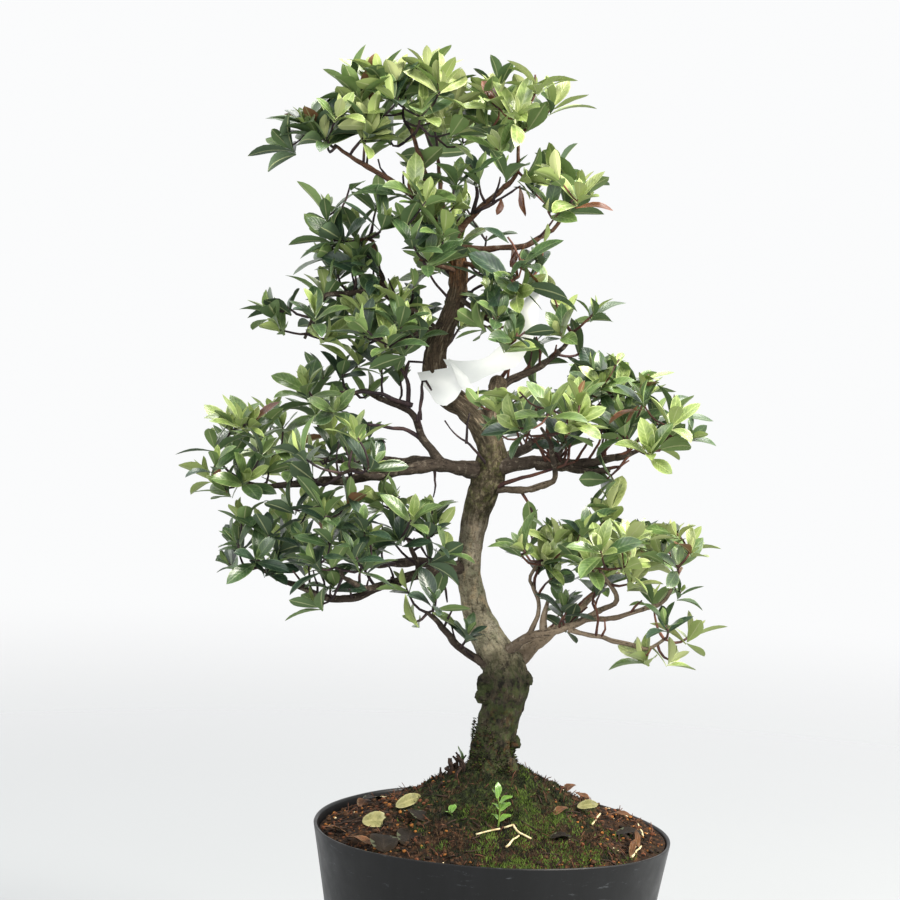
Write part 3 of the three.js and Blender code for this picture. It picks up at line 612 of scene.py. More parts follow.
def pot_look():
    look = Look("pot_plastic", 0.42, 0.32)
    scuffs = look.span(look.noise((9, 9, 2.2), 6, 0.7), 0.6, 0.72)
    tone = look.ramp(look.noise((5, 5, 46), 4), (0.3, "060708"), (0.7, "0c0d0f"))
    look.set("Roughness", look.ramp(look.noise(14, 4), (0.3, 0.34), (0.7, 0.5)))
    return look.done(look.tinted(tone, ("5c6064", scuffs, 0.4)), look.noise(1.6), 0.12, 0.2)


def soil_look():
    """Brown, and mossy near the trunk."""
    look = Look("soil_bed", 0.95, 0.15)
    fine = look.noise(1.6, 5)
    clods = look.noise(3.2, 5, 0.7)
    brown = look.ramp(clods, (0.34, "0b0805"), (0.5, "21160e"), (0.62, "3a2718"), (0.72, "5a3a22"))
    green = look.ramp(fine, (0.3, "0d1008"), (0.55, "232a12"), (0.75, "434e22"))
    flat = look.node("ShaderNodeVectorMath", {0: look.place, 1: (1.0, 1.0, 0.0)}, operation="MULTIPLY")
    near = look.span(look.distance(flat), 74 * MM, 20 * MM)
    patches, mottles = look.times(look.noise(22), 1.1), look.times(look.noise(5, 4, 0.65), 0.8)
    mossy = look.span(look.sum(patches, mottles, look.times(near, 0.5)), 1.05, 1.35)
    return look.done(look.mix(mossy, brown, green), fine, 0.7, 1.2)


# Plain looks: roughness, specular, the noise of their colour and of their relief by size and detail,
# and the relief's strength and depth
PLAIN_LOOKS = {
    "grain": (0.92, 0.2, (2.4, 4), (0.5, 3), 0.4, 0.2),
    "moss": (0.8, 0.2, (6, 3), (0.6, 2), 0.2, 0.1),
    "twig": (0.75, 0.3, (9, 4), (0.7, 3), 0.4, 0.25),
    "paper": (0.5, 0.4, (16, 3), ((3, 3, 1.2), 3), 0.08, 0.2),
}


def plain_look(name, kind, *colours):
    """Blotches of two or three colours, from dark to light."""
    roughness, specular, blotches, relief, strength, depth = PLAIN_LOOKS[kind]
    look = Look(name, roughness, specular)
    places = (0.3, 0.7) if len(colours) == 2 else (0.3, 0.52, 0.72)
    tone = look.ramp(look.noise(*blotches), *zip(places, colours))
    return look.done(tone, look.noise(*relief), strength, depth)


# The trunk's look changes over this rise, from 0 at its start to 1 at its end, in metres
BARK_START = 0.15
BARK_RISE = 0.3


def trunk_look():
    """Dark and mossy at the foot, pale to the second fork, darker and cracked above."""
    look = Look("trunk_bark", 0.9, 0.2)
    span = look.span
    height = look.sum(look.axis("Z"), look.times(look.noise(11), 16 * MM))
    height = look.math("DIVIDE", look.math("SUBTRACT", height, BARK_START), BARK_RISE)
    tone = look.ramp(height, (0.0, "2b271b"), (0.19, "37342a"), (0.215, "6e6753"), (0.25, "b2a88b"),
                     (0.33, "a89e84"), (0.41, "827868"), (0.48, "5f5545"), (0.8, "5b4c3e"), (0.87, "7a5334"))
    stretch = look.times(span(height, 0.2, 0.26), span(height, 0.48, 0.35))
    fork = look.times(span(height, 0.42, 0.47), span(height, 0.6, 0.54))
    foot = span(height, 0.25, 0.19)
    lined = look.math("SUBTRACT", 1.0, look.times(look.math("MAXIMUM", stretch, fork), 0.65))
    patches, scars = look.noise((9, 9, 14), 5, 0.65), look.noise((4.5, 4.5, 1.7), 5, 0.7)
    lichen, tan = look.noise((7, 7, 10), 4, 0.6), look.noise((5, 5, 7), 4, 0.6)
    flecks, specks = look.noise(2.6, 5, 0.7), look.noise((1.3, 1.3, 0.9), 4, 0.7)
    lines, plates = look.grain_along(8, 5, 5, 0.65), look.grain_along(8, 3.4)
    mottle = look.noise((4, 4, 6), 6, 0.75)
    tone = look.tinted(
        tone,
        # lichen, most of it on the pale stretch
        ("cdc4ae", span(patches, 0.5, 0.66), stretch, 0.5),
        ("4f493a", span(patches, 0.5, 0.36), 0.55),
        ("868f6e", span(lichen, 0.5, 0.62), stretch, 0.45),
        ("d0b48c", span(tan, 0.54, 0.68), stretch, 0.5),
        ("443c30", span(flecks, 0.5, 0.38), 0.5),
        ("c4bba2", span(flecks, 0.56, 0.68), stretch, 0.5),
        ("2f281f", span(specks, 0.48, 0.36), 0.5),
        # fine fissures along the limb, with worn ridges between them
        ("3b3228", span(lines, 0.5, 0.4), lined, 0.6),
        ("b5a68c", span(lines, 0.54, 0.66), span(height, 0.2, 0.32), lined, 0.4),
        # short scars across the pale stretch, and cracks between plates
        ("4b4536", span(scars, 0.46, 0.36), stretch, 0.6),
        ("2d261e", span(plates, 0.43, 0.33), 0.75),
        # the second fork is flaky, with moss in its hollows
        ("34301f", fork, span(mottle, 0.55, 0.43)),
        ("8d8365", fork, span(mottle, 0.53, 0.66)),
        ("5a5c36", fork, span(flecks, 0.5, 0.6), 0.6),
        # the foot is mottled, mossy and rusty
        ("171510", foot, span(mottle, 0.52, 0.4)),
        ("75705a", foot, span(mottle, 0.56, 0.7)),
        ("3a4424", span(height, 0.26, 0.15), span(look.noise(5, 5, 0.7), 0.44, 0.58), 0.75),
        ("57391f", span(height, 0.2, 0.03), span(look.noise(4, 5, 0.7), 0.53, 0.63), 0.6),
    )
    relief = look.sum(plates, look.times(lines, lined), look.times(flecks, 0.6), look.times(specks, 0.4))
    return look.done(tone, relief, 1.0, 1.2)


# Where boughs turn pale to the right and downwards, partly their bark's colour and partly painted light from
# the lamp on the right, and red upwards, in metres
PALE_TO_RIGHT = (-15 * MM, 25 * MM)
PALE_DOWNWARDS = (0.303, 0.296)
RED_UPWARDS = (0.38, 0.405)


def bough_look():
    """Dark, paler only low on the right, partly as painted light, and redder in the crown."""
    look = Look("bough_bark", 0.88, 0.25)
    span, height = look.span, look.axis("Z")
    plates, specks = look.grain_along(5.5, 1.9), look.noise((1.3, 1.3, 1.1), 4, 0.7)
    dark = look.ramp(look.noise(20), (0.3, "332b25"), (0.7, "50463c"))
    pale = look.ramp(look.noise(20), (0.3, "665849"), (0.7, "96856f"))
    tone = look.tinted(
        dark,
        # paler low on the right: partly the bark's own colour, partly painted light where the lamp on the
        # right falls
        (pale, span(look.axis("X"), *PALE_TO_RIGHT), span(height, *PALE_DOWNWARDS)),
        ("6b4732", span(height, *RED_UPWARDS), 0.55),
        ("968a7a", span(look.noise(4, 5, 0.7), 0.52, 0.66), 0.5),
        ("2a221d", span(specks, 0.48, 0.36), 0.6),
        ("1f1916", span(plates, 0.44, 0.34), 0.8),
    )
    return look.done(tone, look.sum(plates, look.times(specks, 0.6)), 0.9, 0.8)


def leaf_look(name, dark, light, rib, roughness=0.33, specular=0.5):
    """A leaf's upper face, in an uneven green, with a paler rib and stalk, a paler edge that is partly its
    own colour and partly a painted highlight, and faint veins.
    """
    look = Look(name, roughness, specular)
    span, along, across = look.span, look.axis("X", look.uv), look.from_rib()
    slant = look.node("ShaderNodeCombineXYZ", {"X": look.math("SUBTRACT", along, look.times(across, 0.5))})
    wave = {"Vector": slant, "Scale": 2.6, "Distortion": 0.6, "Detail": 1.0}
    veins = look.node("ShaderNodeTexWave", wave, "Fac", wave_type="BANDS", bands_direction="X")
    tone = look.ramp(look.noise(9, 4, 0.65), (0.34, dark), (0.66, light))
    # each half of the blade is darker in its middle, and blotched
    tone = look.tinted(
        tone,
        ("a9b3a0", span(across, 0.02, 0.14), span(across, 0.46, 0.3), 0.3),
        ("8f9c86", span(look.noise(3.4, 4, 0.7), 0.52, 0.38), 0.4),
        blend="MULTIPLY",
    )
    tone = look.tinted(
        tone,
        (rib, span(veins, 0.75, 1.0), 0.1),
        # the paler edge: partly the margin's own colour, partly a painted highlight where its fine hairs
        # catch the light
        (rib, span(across, 0.42, 0.49), 0.5),
        (rib, span(along, 0.3, 0.0), 0.35),
        (rib, span(across, 0.04, 0.015), 0.25),
    )
    look.set("Roughness", look.ramp(look.noise(7), (0.3, roughness - 0.08), (0.7, roughness + 0.12)))
    look.set("Coat Weight", specular)
    look.set("Coat Roughness", 0.26)
    return look.done(tone, look.sum(look.times(veins, 0.5), span(across, 0.0, 0.06)), 0.4, 0.25)


def underleaf_look(name, dark, light):
    """A leaf's underside: duller and paler than its face."""
    look = Look(name, 0.6, 0.3)
    across = look.from_rib()
    tone = look.mix(0.2, look.ramp(look.noise(12), (0.3, dark), (0.7, light)), "75805c")
    tone = look.tinted(tone, ("b9bf8e", look.span(across, 0.06, 0.02), 0.6))
    return look.done(tone, look.span(across, 0.06, 0.0), 0.4, 0.3)


# Pot

POT_SIDES = 160
POT_WALL_RINGS = 26
# The rim's edge: how far in and how far down, from outside to inside
RIM_EDGE = [(0.1, 0.4), (0.5, 0), (1.2, 0), (POT_WALL - 0.1, 0.4)]
# Dents in the soft wall: how deep at the foot and at the rim, how many round it, and how tall
DENT_DEPTHS = (0.15, 0.9)
DENTS_ROUND = 2.2
DENT_HEIGHT = 70
DRAIN_SIDES = 24


def outer_radius(height):
    return lerp(FOOT_RADIUS, RIM_RADIUS, height / POT_HEIGHT)


def rim_warp(angle):
    tilt = RIM_TILT * np.cos(angle - RIM_TILT_TOWARDS)
    return tilt + RIM_WAVE * np.cos(2 * (angle - RIM_WAVE_TOWARDS))


def build_pot():
    walls = np.linspace(FOOT_ROUND, POT_HEIGHT - 1.2, POT_WALL_RINGS)
    outline = [(FOOT_RADIUS - FOOT_ROUND, 0), (FOOT_RADIUS - 0.8, 0.6)]
    outline += [(outer_radius(z), z) for z in walls]
    outline += [(RIM_RADIUS - inwards, POT_HEIGHT - down) for inwards, down in RIM_EDGE]
    outline += [(outer_radius(z) - POT_WALL, z) for z in (*walls[:0:-1], POT_FLOOR)]
    angles = turns(POT_SIDES)
    rings = []
    for radius, height in outline:
        warped = max(0.0, (height - RIM_WARP_FROM) / (POT_HEIGHT - RIM_WARP_FROM))
        dents = np.array([ring_noise(a, DENTS_ROUND, height / DENT_HEIGHT) for a in angles])
        reach = radius + dents * lerp(*DENT_DEPTHS, min(1, height / POT_HEIGHT))
        rings.append(circle(reach, angles, height + warped * rim_warp(angles)))
    heap = Heap()
    add_shell(heap, rings, [0, 0, 0], [0, 0, POT_FLOOR])
    cut_drains(make_piece("pot_shell", heap, [pot_look()], ["pot"], sharp_from=40))


def cut_drains(pot):
    """Round holes through the pot's floor."""
    drains = Heap()
    for angle in turns(DRAIN_HOLES):
        foot = DRAIN_RING * level(angle) - 2 * POT_FLOOR * UP
        add_tube(drains, foot + np.outer([0, 5 * POT_FLOOR], UP), np.full((2, DRAIN_SIDES), DRAIN_RADIUS))
    cutter = make_object("drains", drains, smooth=False)
    cut = pot.modifiers.new("drains", "BOOLEAN")
    cut.object = cutter
    cut.operation = "DIFFERENCE"
    cut.solver = "EXACT"
    bpy.context.view_layer.update()
    whole = bpy.data.meshes.new_from_object(pot.evaluated_get(bpy.context.evaluated_depsgraph_get()))
    pot.modifiers.clear()
    pot.data = whole
    bpy.data.objects.remove(cutter)


# Soil

SOIL_SIDES = 240
SOIL_RINGS = 84
INNER_EDGE = outer_radius(SOIL_EDGE) - POT_WALL - SOIL_WALL_GAP
LUMP_PLACES = np.sqrt((np.arange(SOIL_LUMPS) + 0.5) / SOIL_LUMPS) * INNER_EDGE
LUMP_X, LUMP_Y, _ = circle(LUMP_PLACES, np.arange(SOIL_LUMPS) * GOLDEN_ANGLE, 0).T
# Lumps and crumbs fade out over this distance
FADE = 4
# The mossy collar round the trunk: its height, its radius, and how fast it falls away
COLLAR = 3.6
COLLAR_RADIUS = 11
COLLAR_FALL = 5
# Clods and the crumbs on them: how wide and how high
CLOD_SIZES = (7, 3.1)
CLOD_HEIGHT = 1.3
CRUMB_SIZE = 3
CRUMB_HEIGHT = 0.5


def mound_height(x, y):
    """The soil's height: level under the trunk and falling to the wall, with low lumps and a mossy collar."""
    x, y = np.asarray(x, float), np.asarray(y, float)
    radius = np.hypot(x, y)
    outwards, inwards = radius - MOUND_TOP_RADIUS, INNER_EDGE - radius
    share = np.clip(outwards / (INNER_EDGE - MOUND_TOP_RADIUS), 0, 1)
    height = lerp(GROUND - GAP, SOIL_EDGE, 1 - (1 - share) ** MOUND_POWER)
    apart = np.hypot(x[..., None] - LUMP_X, y[..., None] - LUMP_Y) / LUMP_RADIUS
    lumps = LUMP_HEIGHT * np.clip((1 - apart**2).max(-1), 0, None)
    lumps = lumps * np.clip(outwards / FADE, 0, 1) * np.clip(inwards / FADE, 0, 1)
    return height + lumps + COLLAR * np.exp(-np.clip(radius - COLLAR_RADIUS, 0, None) / COLLAR_FALL)


def unevenness(x, y):
    """How far the soil's crumbs and clods raise or lower it at a place."""
    large, small = CLOD_SIZES
    clods = ground_noise(x, y, large, 5.3) + 0.6 * ground_noise(x, y, small, 8.7)
    crumbs = noise.fractal((x / CRUMB_SIZE, y / CRUMB_SIZE, 1.7), 0.8, 2.1, 4)
    faded = clip((INNER_EDGE - math.hypot(x, y)) / FADE)
    return faded * (CLOD_HEIGHT * clods + CRUMB_HEIGHT * crumbs)


def soil_point(x, y, lift=0.0):
    return np.array([x, y, float(mound_height(x, y)) + unevenness(x, y) + lift])


def build_soil():
    angles, bottom = turns(SOIL_SIDES), POT_FLOOR + GAP
    rings = [circle(outer_radius(POT_FLOOR) - POT_WALL - SOIL_WALL_GAP, angles, bottom)]
    for radius in np.linspace(0.5, INNER_EDGE, SOIL_RINGS)[::-1]:
        ring = circle(radius, angles, 0)
        ring[:, 2] = mound_height(ring[:, 0], ring[:, 1]) + [unevenness(x, y) for x, y, _ in ring]
        rings.append(ring)
    heap = Heap()
    add_shell(heap, rings, [0, 0, bottom], [0, 0, GROUND])
    make_piece("soil_bed", heap, [soil_look()], ["soil"])


# Leaves

LEAF_ROWS = np.array([0, 0.05, 0.15, 0.29, 0.45, 0.61, 0.76, 0.89, 1])
LEAF_HALF_WIDTHS = np.array([0.12, 0.17, 0.42, 0.73, 0.95, 1.0, 0.85, 0.51])
OVAL_HALF_WIDTHS = np.array([0.1, 0.42, 0.7, 0.9, 1.0, 0.96, 0.82, 0.55])
# A ring round the blade goes over its face and back under it: how far across, and how far up
LEAF_COLUMNS = np.array([-1, -0.5, 0, 0.5, 1, 0.5, 0, -0.5])
LEAF_LIFTS = np.array([0, 0.8, 1, 0.8, 0, -0.8, -1, -0.8])
LEAF_THICKNESS = 0.3
LEAF_UV = [(row, column / 2 + 0.5) for row in LEAF_ROWS[:-1] for column in LEAF_COLUMNS]
LEAF_UV = np.array([*LEAF_UV, (1, 0.5)])
LEAF_RINGS, LEAF_SIDES = len(LEAF_ROWS) - 1, len(LEAF_COLUMNS)
LEAF_END = LEAF_RINGS * LEAF_SIDES
LEAF_QUADS = ring_faces(LEAF_RINGS, LEAF_SIDES)[:, ::-1].reshape(-1, LEAF_SIDES, 4)
LEAF_TIP = fan(LEAF_END, LEAF_END - LEAF_SIDES, LEAF_SIDES, flip=True)
LEAF_ROOT = np.array([[0, 1, 2, 7], [2, 3, 6, 7], [3, 4, 5, 6]])[:, ::-1]
# The face and the underside in turn, and the root
LEAF_FACES = [
    LEAF_QUADS[:, :4].reshape(-1, 4), LEAF_QUADS[:, 4:].reshape(-1, 4), LEAF_TIP[:4], LEAF_TIP[4:], LEAF_ROOT,
]
LEAF_KINDS = [0, 1, 0, 1, 1]


def add_leaf(heap, root, heading, face, length, width, arch, fold, twist, wave, half_widths=LEAF_HALF_WIDTHS):
    """A closed thin leaf, pointed, folded along the rib and arched back. Its underside is kind 1."""
    side, rows = np.cross(face, heading), LEAF_ROWS[:, None]
    # the rib's line, from its turning heading
    turn, roll = arch * (rows**1.3 - 0.25), twist * rows
    headings = np.cos(turn) * heading - np.sin(turn) * face
    ups = np.cos(turn) * face + np.sin(turn) * heading
    rib = root + np.cumsum(headings * np.diff(rows, axis=0, prepend=0) * length, 0)
    sides, ups = np.cos(roll) * side + np.sin(roll) * ups, np.cos(roll) * ups - np.sin(roll) * side
    across = LEAF_COLUMNS * (width / 2 * half_widths[:, None])
    ripple = wave * np.sin(9 * rows[:-1] + 3 * LEAF_COLUMNS) * np.abs(LEAF_COLUMNS)
    lift = np.abs(across) * fold + LEAF_LIFTS * LEAF_THICKNESS / 2 + ripple
    grid = rib[:-1, None] + across[..., None] * sides[:-1, None] + lift[..., None] * ups[:-1, None]
    heap.add(np.vstack([grid.reshape(-1, 3), rib[-1]]), LEAF_FACES, LEAF_KINDS, LEAF_UV)


def lay_leaf(heap, root, towards, tilt, length, width, arch=0.3, roll=0.0, half_widths=LEAF_HALF_WIDTHS):
    """A leaf near the soil, with its heading round the trunk in degrees, and its tilt and roll in radians."""
    flat = level(math.radians(towards))
    heading = flat * math.cos(tilt) + UP * math.sin(tilt)
    face = rolled(UP * math.cos(tilt) - flat * math.sin(tilt), heading, roll)
    add_leaf(heap, root, heading, face, length, width, arch, 0.2, 0.15, 0.3, half_widths)


def make_leaves(name, heap, face, under, nodes=()):
    make_piece(name, heap, [face, under], nodes, sharp_from=75)


# Litter on the soil

# How far from the middle each kind of litter starts, and where its feet and the tips of its twigs end
GRAINS_FROM = 18
MOSS_FROM = 10.5
ROOTLETS_FROM = 12
SOIL_TWIGS_FROM = 24
FEET_EDGE = INNER_EDGE - 1.5
TIPS_EDGE = INNER_EDGE - 1
# Moss takes over from grains at a mossiness between these
MOSS_LIMITS = (0.1, 0.9)
# Grains: their share, their dark and light colour, and their smallest and largest radius
GRAIN_COUNT = 4200
GRAINS = {
    "grains_brown": (0.43, "281b12", "4f3724", 0.35, 1.5), "grains_dark": (0.3, "0e0a07", "281d15", 0.4, 1.6),
    "grains_red": (0.15, "402619", "6b402a", 0.4, 1.4), "grains_amber": (0.1, "66401f", "9a642f", 0.4, 1.3),
    "grains_pale": (0.02, "a9966f", "e6d9b4", 0.4, 1.0),
}
ICO_RATIO = (1 + math.sqrt(5)) / 2
ICO_POINTS = unit([np.roll((a, b * ICO_RATIO, 0), k) for k in range(3) for b in (1, -1) for a in (-1, 1)])
ICO_FACES = [
    (0, 11, 5), (0, 5, 1), (0, 1, 7), (0, 7, 10), (0, 10, 11), (1, 5, 9), (5, 11, 4), (11, 10, 2),
    (10, 7, 6), (7, 1, 8), (3, 9, 4), (3, 4, 2), (3, 2, 6), (3, 6, 8), (3, 8, 9), (4, 9, 5), (2, 4, 11),
    (6, 2, 10), (8, 6, 7), (9, 8, 1),
]
# Moss: spikes on the soil and on the trunk's foot, how high they climb, and their dark and light colour
MOSS_SPIKES = 30000
CLIMBING_SPIKES = 2600
MOSS_CLIMB = 26
MOSSES = {
    "moss_dark": ("0c1008", "1d2311"), "moss_light": ("2c3c13", "536626"), "moss_dry": ("251b11", "483725"),
}
SPIKE_FACES = [(0, 1, 3), (1, 2, 3), (2, 0, 3), (0, 2, 1)]
# Straws: their bends on the soil
STRAWS = [
    [(-8.7, -54.3), (-3, -52.5), (2.7, -50.9)], [(4.6, -51.4), (8.9, -50.3)],
    [(8.9, -50.3), (10.4, -53.5), (17.6, -57)], [(5.6, -64.8), (11.8, -56.3)], [(66.7, -48), (72.3, -29.2)],
    [(74.8, -7.1), (73.5, 12.1)], [(48, -29), (53.3, -3)], [(62, 34), (70, 38)], [(-60, 40), (-52, 50)],
    [(-20, 66), (-8, 70)], [(30, 62), (40, 58)],
]
STRAW_LIFT = 1.3
STRAW_RADII = (0.55, 0.45)
# Black bits of twig left of the trunk: how many, and between which places
BLACK_BITS = 26
BLACK_BITS_X = (-30, -15)
BLACK_BITS_Y = (-12, 12)
ROOTLETS = 260
ROOTLET_RADII = (0.28, 0.16)
SOIL_TWIGS = 90
SOIL_TWIG_LIFT = 0.7
SOIL_TWIG_RADII = (0.45, 0.3)
# Fallen leaves: root on the soil, heading round the trunk in degrees, how far it tilts up, length and width
FALLEN = {
    "pale": [((-64, -26), 10, 0.1, 15, 9), ((-48, -20), 20, 0.4, 15, 6.5), ((41, -16), 8, 0.2, 11, 5),
             ((20, 60), 200, 0.3, 15, 7)],
    "tan": [((29, -34), 55, 0.3, 12, 5), ((-58, -50), 150, 0.25, 15, 8), ((-66, 20), 80, 0.25, 14, 7),
            ((58, 12), 330, 0.25, 13, 6), ((-25, 62), 10, 0.25, 16, 7), ((50, 44), 120, 0.3, 14, 6),
            ((66, -46), 75, 0.6, 14, 3), ((71, -30), 95, 0.7, 12, 2.6), ((-72, -22), 200, 0.4, 12, 5),
            ((36, 20), 60, 0.3, 12, 5)],
    "black": [((-52, -62), 95, 0.42, 17, 14), ((-42, -56), 80, 0.36, 18, 12), ((60, -20), 20, 0.15, 15, 9),
              ((-55, 34), 230, 0.3, 16, 9), ((5, 74), 90, 0.2, 14, 8), ((-34, -40), 120, 0.3, 15, 9),
              ((26, -52), 15, 0.2, 12, 7)],
}
FALLEN_TONES = {
    "pale": ("6c6a44", "8d895f", "9d9871"), "tan": ("3f2a1c", "6b472d", "84634a"),
    "black": ("130f0b", "211a13", "2b231a"),
}
# A fallen leaf stands on its edge or lies: how far its root is lifted, and how far it rolls
STANDING = (2.6, 0.75)
LYING = (0.4, 0.0)
# The seedling's leaves: height of the root, heading, tilt, length and width
SEEDLING = (1.8, -48.5)
SEEDLING_HEIGHT = 14.5
SEEDLING_LEAVES = [
    (3, 30, 0.5, 7.5, 5), (4, 150, 0.6, 5, 3.4), (8, 45, 0.55, 8, 5.2), (9, 160, 0.7, 5, 3.2),
    (12, 25, 0.5, 8, 5), (14, 150, 1.0, 6, 3), (14.5, 100, 1.35, 8, 3.4),
]
# Single green leaves: root on the soil and its lift, heading, tilt, length and width
SPROUTS = [
    (-15.5, 1, -0.5, 160, 1.35, 12, 4.5), (-21.4, -36, 0, 60, 0.8, 6, 4), (-20, -37, 0, 200, 0.6, 5, 3.4),
]


def mossiness(x, y):
    """How mossy the soil is at a place: most by the trunk and in front, least by the rim at both sides."""
    front = 1.35 * clip(-y / 42) * max(0.0, 1 - abs(x - 13) / 70)
    return 1.05 - math.hypot(x, y) / 60 + front + 0.6 * ground_noise(x, y, 15, 4.2)


def on_soil(draw, nearest):
    """A place on the soil, evenly spread from a distance outwards."""
    radius = math.sqrt(draw((nearest / INNER_EDGE) ** 2, 1)) * FEET_EDGE
    return radius * level(draw(0, FULL_TURN))[:2]


def build_grains(draw):
    for name, (share, dark, light, *sizes) in GRAINS.items():
        heap = Heap()
        for _ in range(int(GRAIN_COUNT * share)):
            x, y = on_soil(draw, GRAINS_FROM)
            if mossiness(x, y) > draw(*MOSS_LIMITS):
                continue
            size = lerp(*sizes, draw() ** 2)
            shape = ICO_POINTS * [[size * draw(0.75, 1.2)] for _ in ICO_POINTS]
            shape = shape * [draw(0.8, 1.25), 1, draw(0.6, 0.9)]
            shape = shape @ np.array(Matrix.Rotation(draw(0, FULL_TURN), 3, "Z"))
            heap.add(shape + soil_point(x, y, 0.3 * size), [ICO_FACES])
        make_piece(name, heap, [plain_look(name, "grain", dark, light)], smooth=False)


def build_moss(draw):
    """Three-sided spikes on the soil and up the trunk's foot."""
    dark, light, dry = heaps = [Heap() for _ in MOSSES]
    for _ in range(MOSS_SPIKES):
        x, y = on_soil(draw, MOSS_FROM)
        if mossiness(x, y) < draw(*MOSS_LIMITS):
            continue
        foot = soil_point(x, y, -0.2)
        lean = unit([draw(-0.8, 0.8), draw(-0.8, 0.8), 1])
        tip = foot + lean * draw(0.7, 1.9) * (1.25 + 0.9 * ground_noise(x, y, 4, 2.9))
        ring = circle(draw(0.25, 0.5), draw(0, FULL_TURN) + turns(3), 0)
        # fewer spikes left of the trunk get the light moss: painted shade
        shade = 0.44 if x > -6 else 0.9
        bright = ground_noise(x, y, 10, 9.1) + 0.75 * clip(-y / 60) - shade + draw(-0.25, 0.25)
        dried = ground_noise(x, y, 6, 17.3) + draw(-0.3, 0.3)
        heap = light if bright > 0.1 else dry if dried > 0.02 else dark
        heap.add([*(foot + ring), tip], [SPIKE_FACES])
    foot_x, _, _, foot_radius = TRUNK_BENDS[0]
    for _ in range(CLIMBING_SPIKES):
        rise, angle = MOSS_CLIMB * draw() ** 3, draw(0, FULL_TURN)
        flare = FLARE * (1 + ROOT_SPUR_DEPTH * math.cos(ROOT_SPURS * angle)) * math.exp(-rise / FLARE_HEIGHT)
        out = level(angle)
        foot = [foot_x, 0, GROUND + rise] + out * (foot_radius + flare - 0.5)
        tip = foot + unit(out + scatter(draw, (-0.5, 0.5), (-0.5, 0.5), (0, 1))) * draw(0.9, 2)
        ring = [foot + 0.4 * around(out, turn) for turn in turns(3)]
        kind = int(draw(0, 2.99)) if draw() < 0.5 else 0
        heaps[kind].add([*ring, tip], [SPIKE_FACES])
    for (name, colours), heap in zip(MOSSES.items(), heaps):
        make_piece(name, heap, [plain_look(name, "moss", *colours)], smooth=False)


def build_stalks(draw):
    """Straws, black bits of twig and rootlets."""
    stalks, sticks, fibres = Heap(), Heap(), Heap()
    for bends in STRAWS:
        add_twig(stalks, Curve([soil_point(x, y, STRAW_LIFT) for x, y in bends], *STRAW_RADII), step=2)
    for _ in range(BLACK_BITS):
        x, y = draw(*BLACK_BITS_X), draw(*BLACK_BITS_Y)
        foot = soil_point(x, y, -1)
        lean, tall = draw(-4, 3), draw(3, 5) + max(0, 6 * (x + 26) / 11) * draw()
        bend = foot + [lean * draw(), draw(-2, 1), tall * 0.55]
        tip = foot + [lean, draw(-3, 1), tall]
        add_twig(sticks, Curve([foot, bend, tip], draw(0.5, 1.3), draw(0.3, 0.9)), step=2)
    for _ in range(ROOTLETS):
        x, y = on_soil(draw, ROOTLETS_FROM)
        foot = soil_point(x, y, -0.3)
        aim = unit(scatter(draw, (-1, 1), (-1, 1), (0.2, 1.2))) * draw(2.5, 6.5)
        if math.hypot(x + aim[0], y + aim[1]) < TIPS_EDGE:
            bend = foot + aim * 0.5 + [0, 0, draw(0, 1.2)]
            add_twig(fibres, Curve([foot, bend, foot + aim], *ROOTLET_RADII), sides=4, step=2)
    for _ in range(SOIL_TWIGS):
        middle = on_soil(draw, SOIL_TWIGS_FROM)
        half = level(draw(0, FULL_TURN))[:2] * draw(1.5, 6)
        heap = sticks if draw() < 0.96 else stalks
        ends = [middle - half, middle, middle + half]
        if max(math.hypot(*end) for end in ends) < TIPS_EDGE:
            line = Curve([soil_point(*end, SOIL_TWIG_LIFT) for end in ends], *SOIL_TWIG_RADII)
            add_twig(heap, line, sides=5, step=3)
    for name, heap, dark, light in (
        ("rootlets", fibres, "3a241a", "6e4a38"), ("dry_stalks", stalks, "9c8a62", "ddd0a8"),
        ("soil_twigs", sticks, "1a1411", "3d2f27"),
    ):
        make_piece(name, heap, [plain_look(name, "grain", dark, light)])


def build_fallen():
    for tone, rows in FALLEN.items():
        heap, colours = Heap(), FALLEN_TONES[tone]
        # a pale leaf stands on its edge, and faces outwards
        lift, roll = STANDING if tone == "pale" else LYING
        for place, *leaf in rows:
            lay_leaf(heap, soil_point(*place, lift), *leaf, 0.5, roll, OVAL_HALF_WIDTHS)
        face = leaf_look("fallen_" + tone, *colours, roughness=0.85, specular=0.12)
        make_leaves("fallen_" + tone, heap, face, underleaf_look("fallen_under_" + tone, *colours[:2]))


def build_seedling():
    """The seedling in front, and single green leaves by the trunk."""
    foot = soil_point(*SEEDLING, -0.5)
    stem = Curve([foot, foot + [0.4, 0, 8], foot + [-0.6, -0.5, SEEDLING_HEIGHT]], 0.5, 0.3)
    shoot, heap = Heap(), Heap()
    add_twig(shoot, stem, step=2)
    make_piece("seedling_stem", shoot, [plain_look("seedling_stem", "moss", "4a6424", "6f883a")])
    for height, *leaf in SEEDLING_LEAVES:
        lay_leaf(heap, stem.at(min(1, height / SEEDLING_HEIGHT)), *leaf)
    for x, y, lift, *leaf in SPROUTS:
        lay_leaf(heap, soil_point(x, y, lift), *leaf)
    face = leaf_look("seedling_leaf", "47711f", "678f33", "9cbb62")
    make_leaves("seedling_leaves", heap, face, underleaf_look("seedling_under", "5d8431", "7fa04c"))


def build_litter():
    """Grains, moss, dry stalks, fallen leaves and a seedling on the soil."""
    draw = seeded(7)
    build_grains(draw)
    build_moss(draw)
    build_stalks(draw)
    build_fallen()
    build_seedling()


# Limbs

TRUNK_SIDES = 84
TRUNK_STEP = 1.0
# The trunk's radius is evened out over this many steps to either side
EVENED_OVER = 7
# The trunk is burly up to its first swelling, where an old crease runs round it, and again at its second fork
BURLY_TO = 214
SECOND_FORK = 296
CREASE = 206
FOOT_BURLS = 1.3
FOOT_BURLS_FADE = 12
FORK_BURLS_REACH = 9
CREASE_DEPTH = 0.9
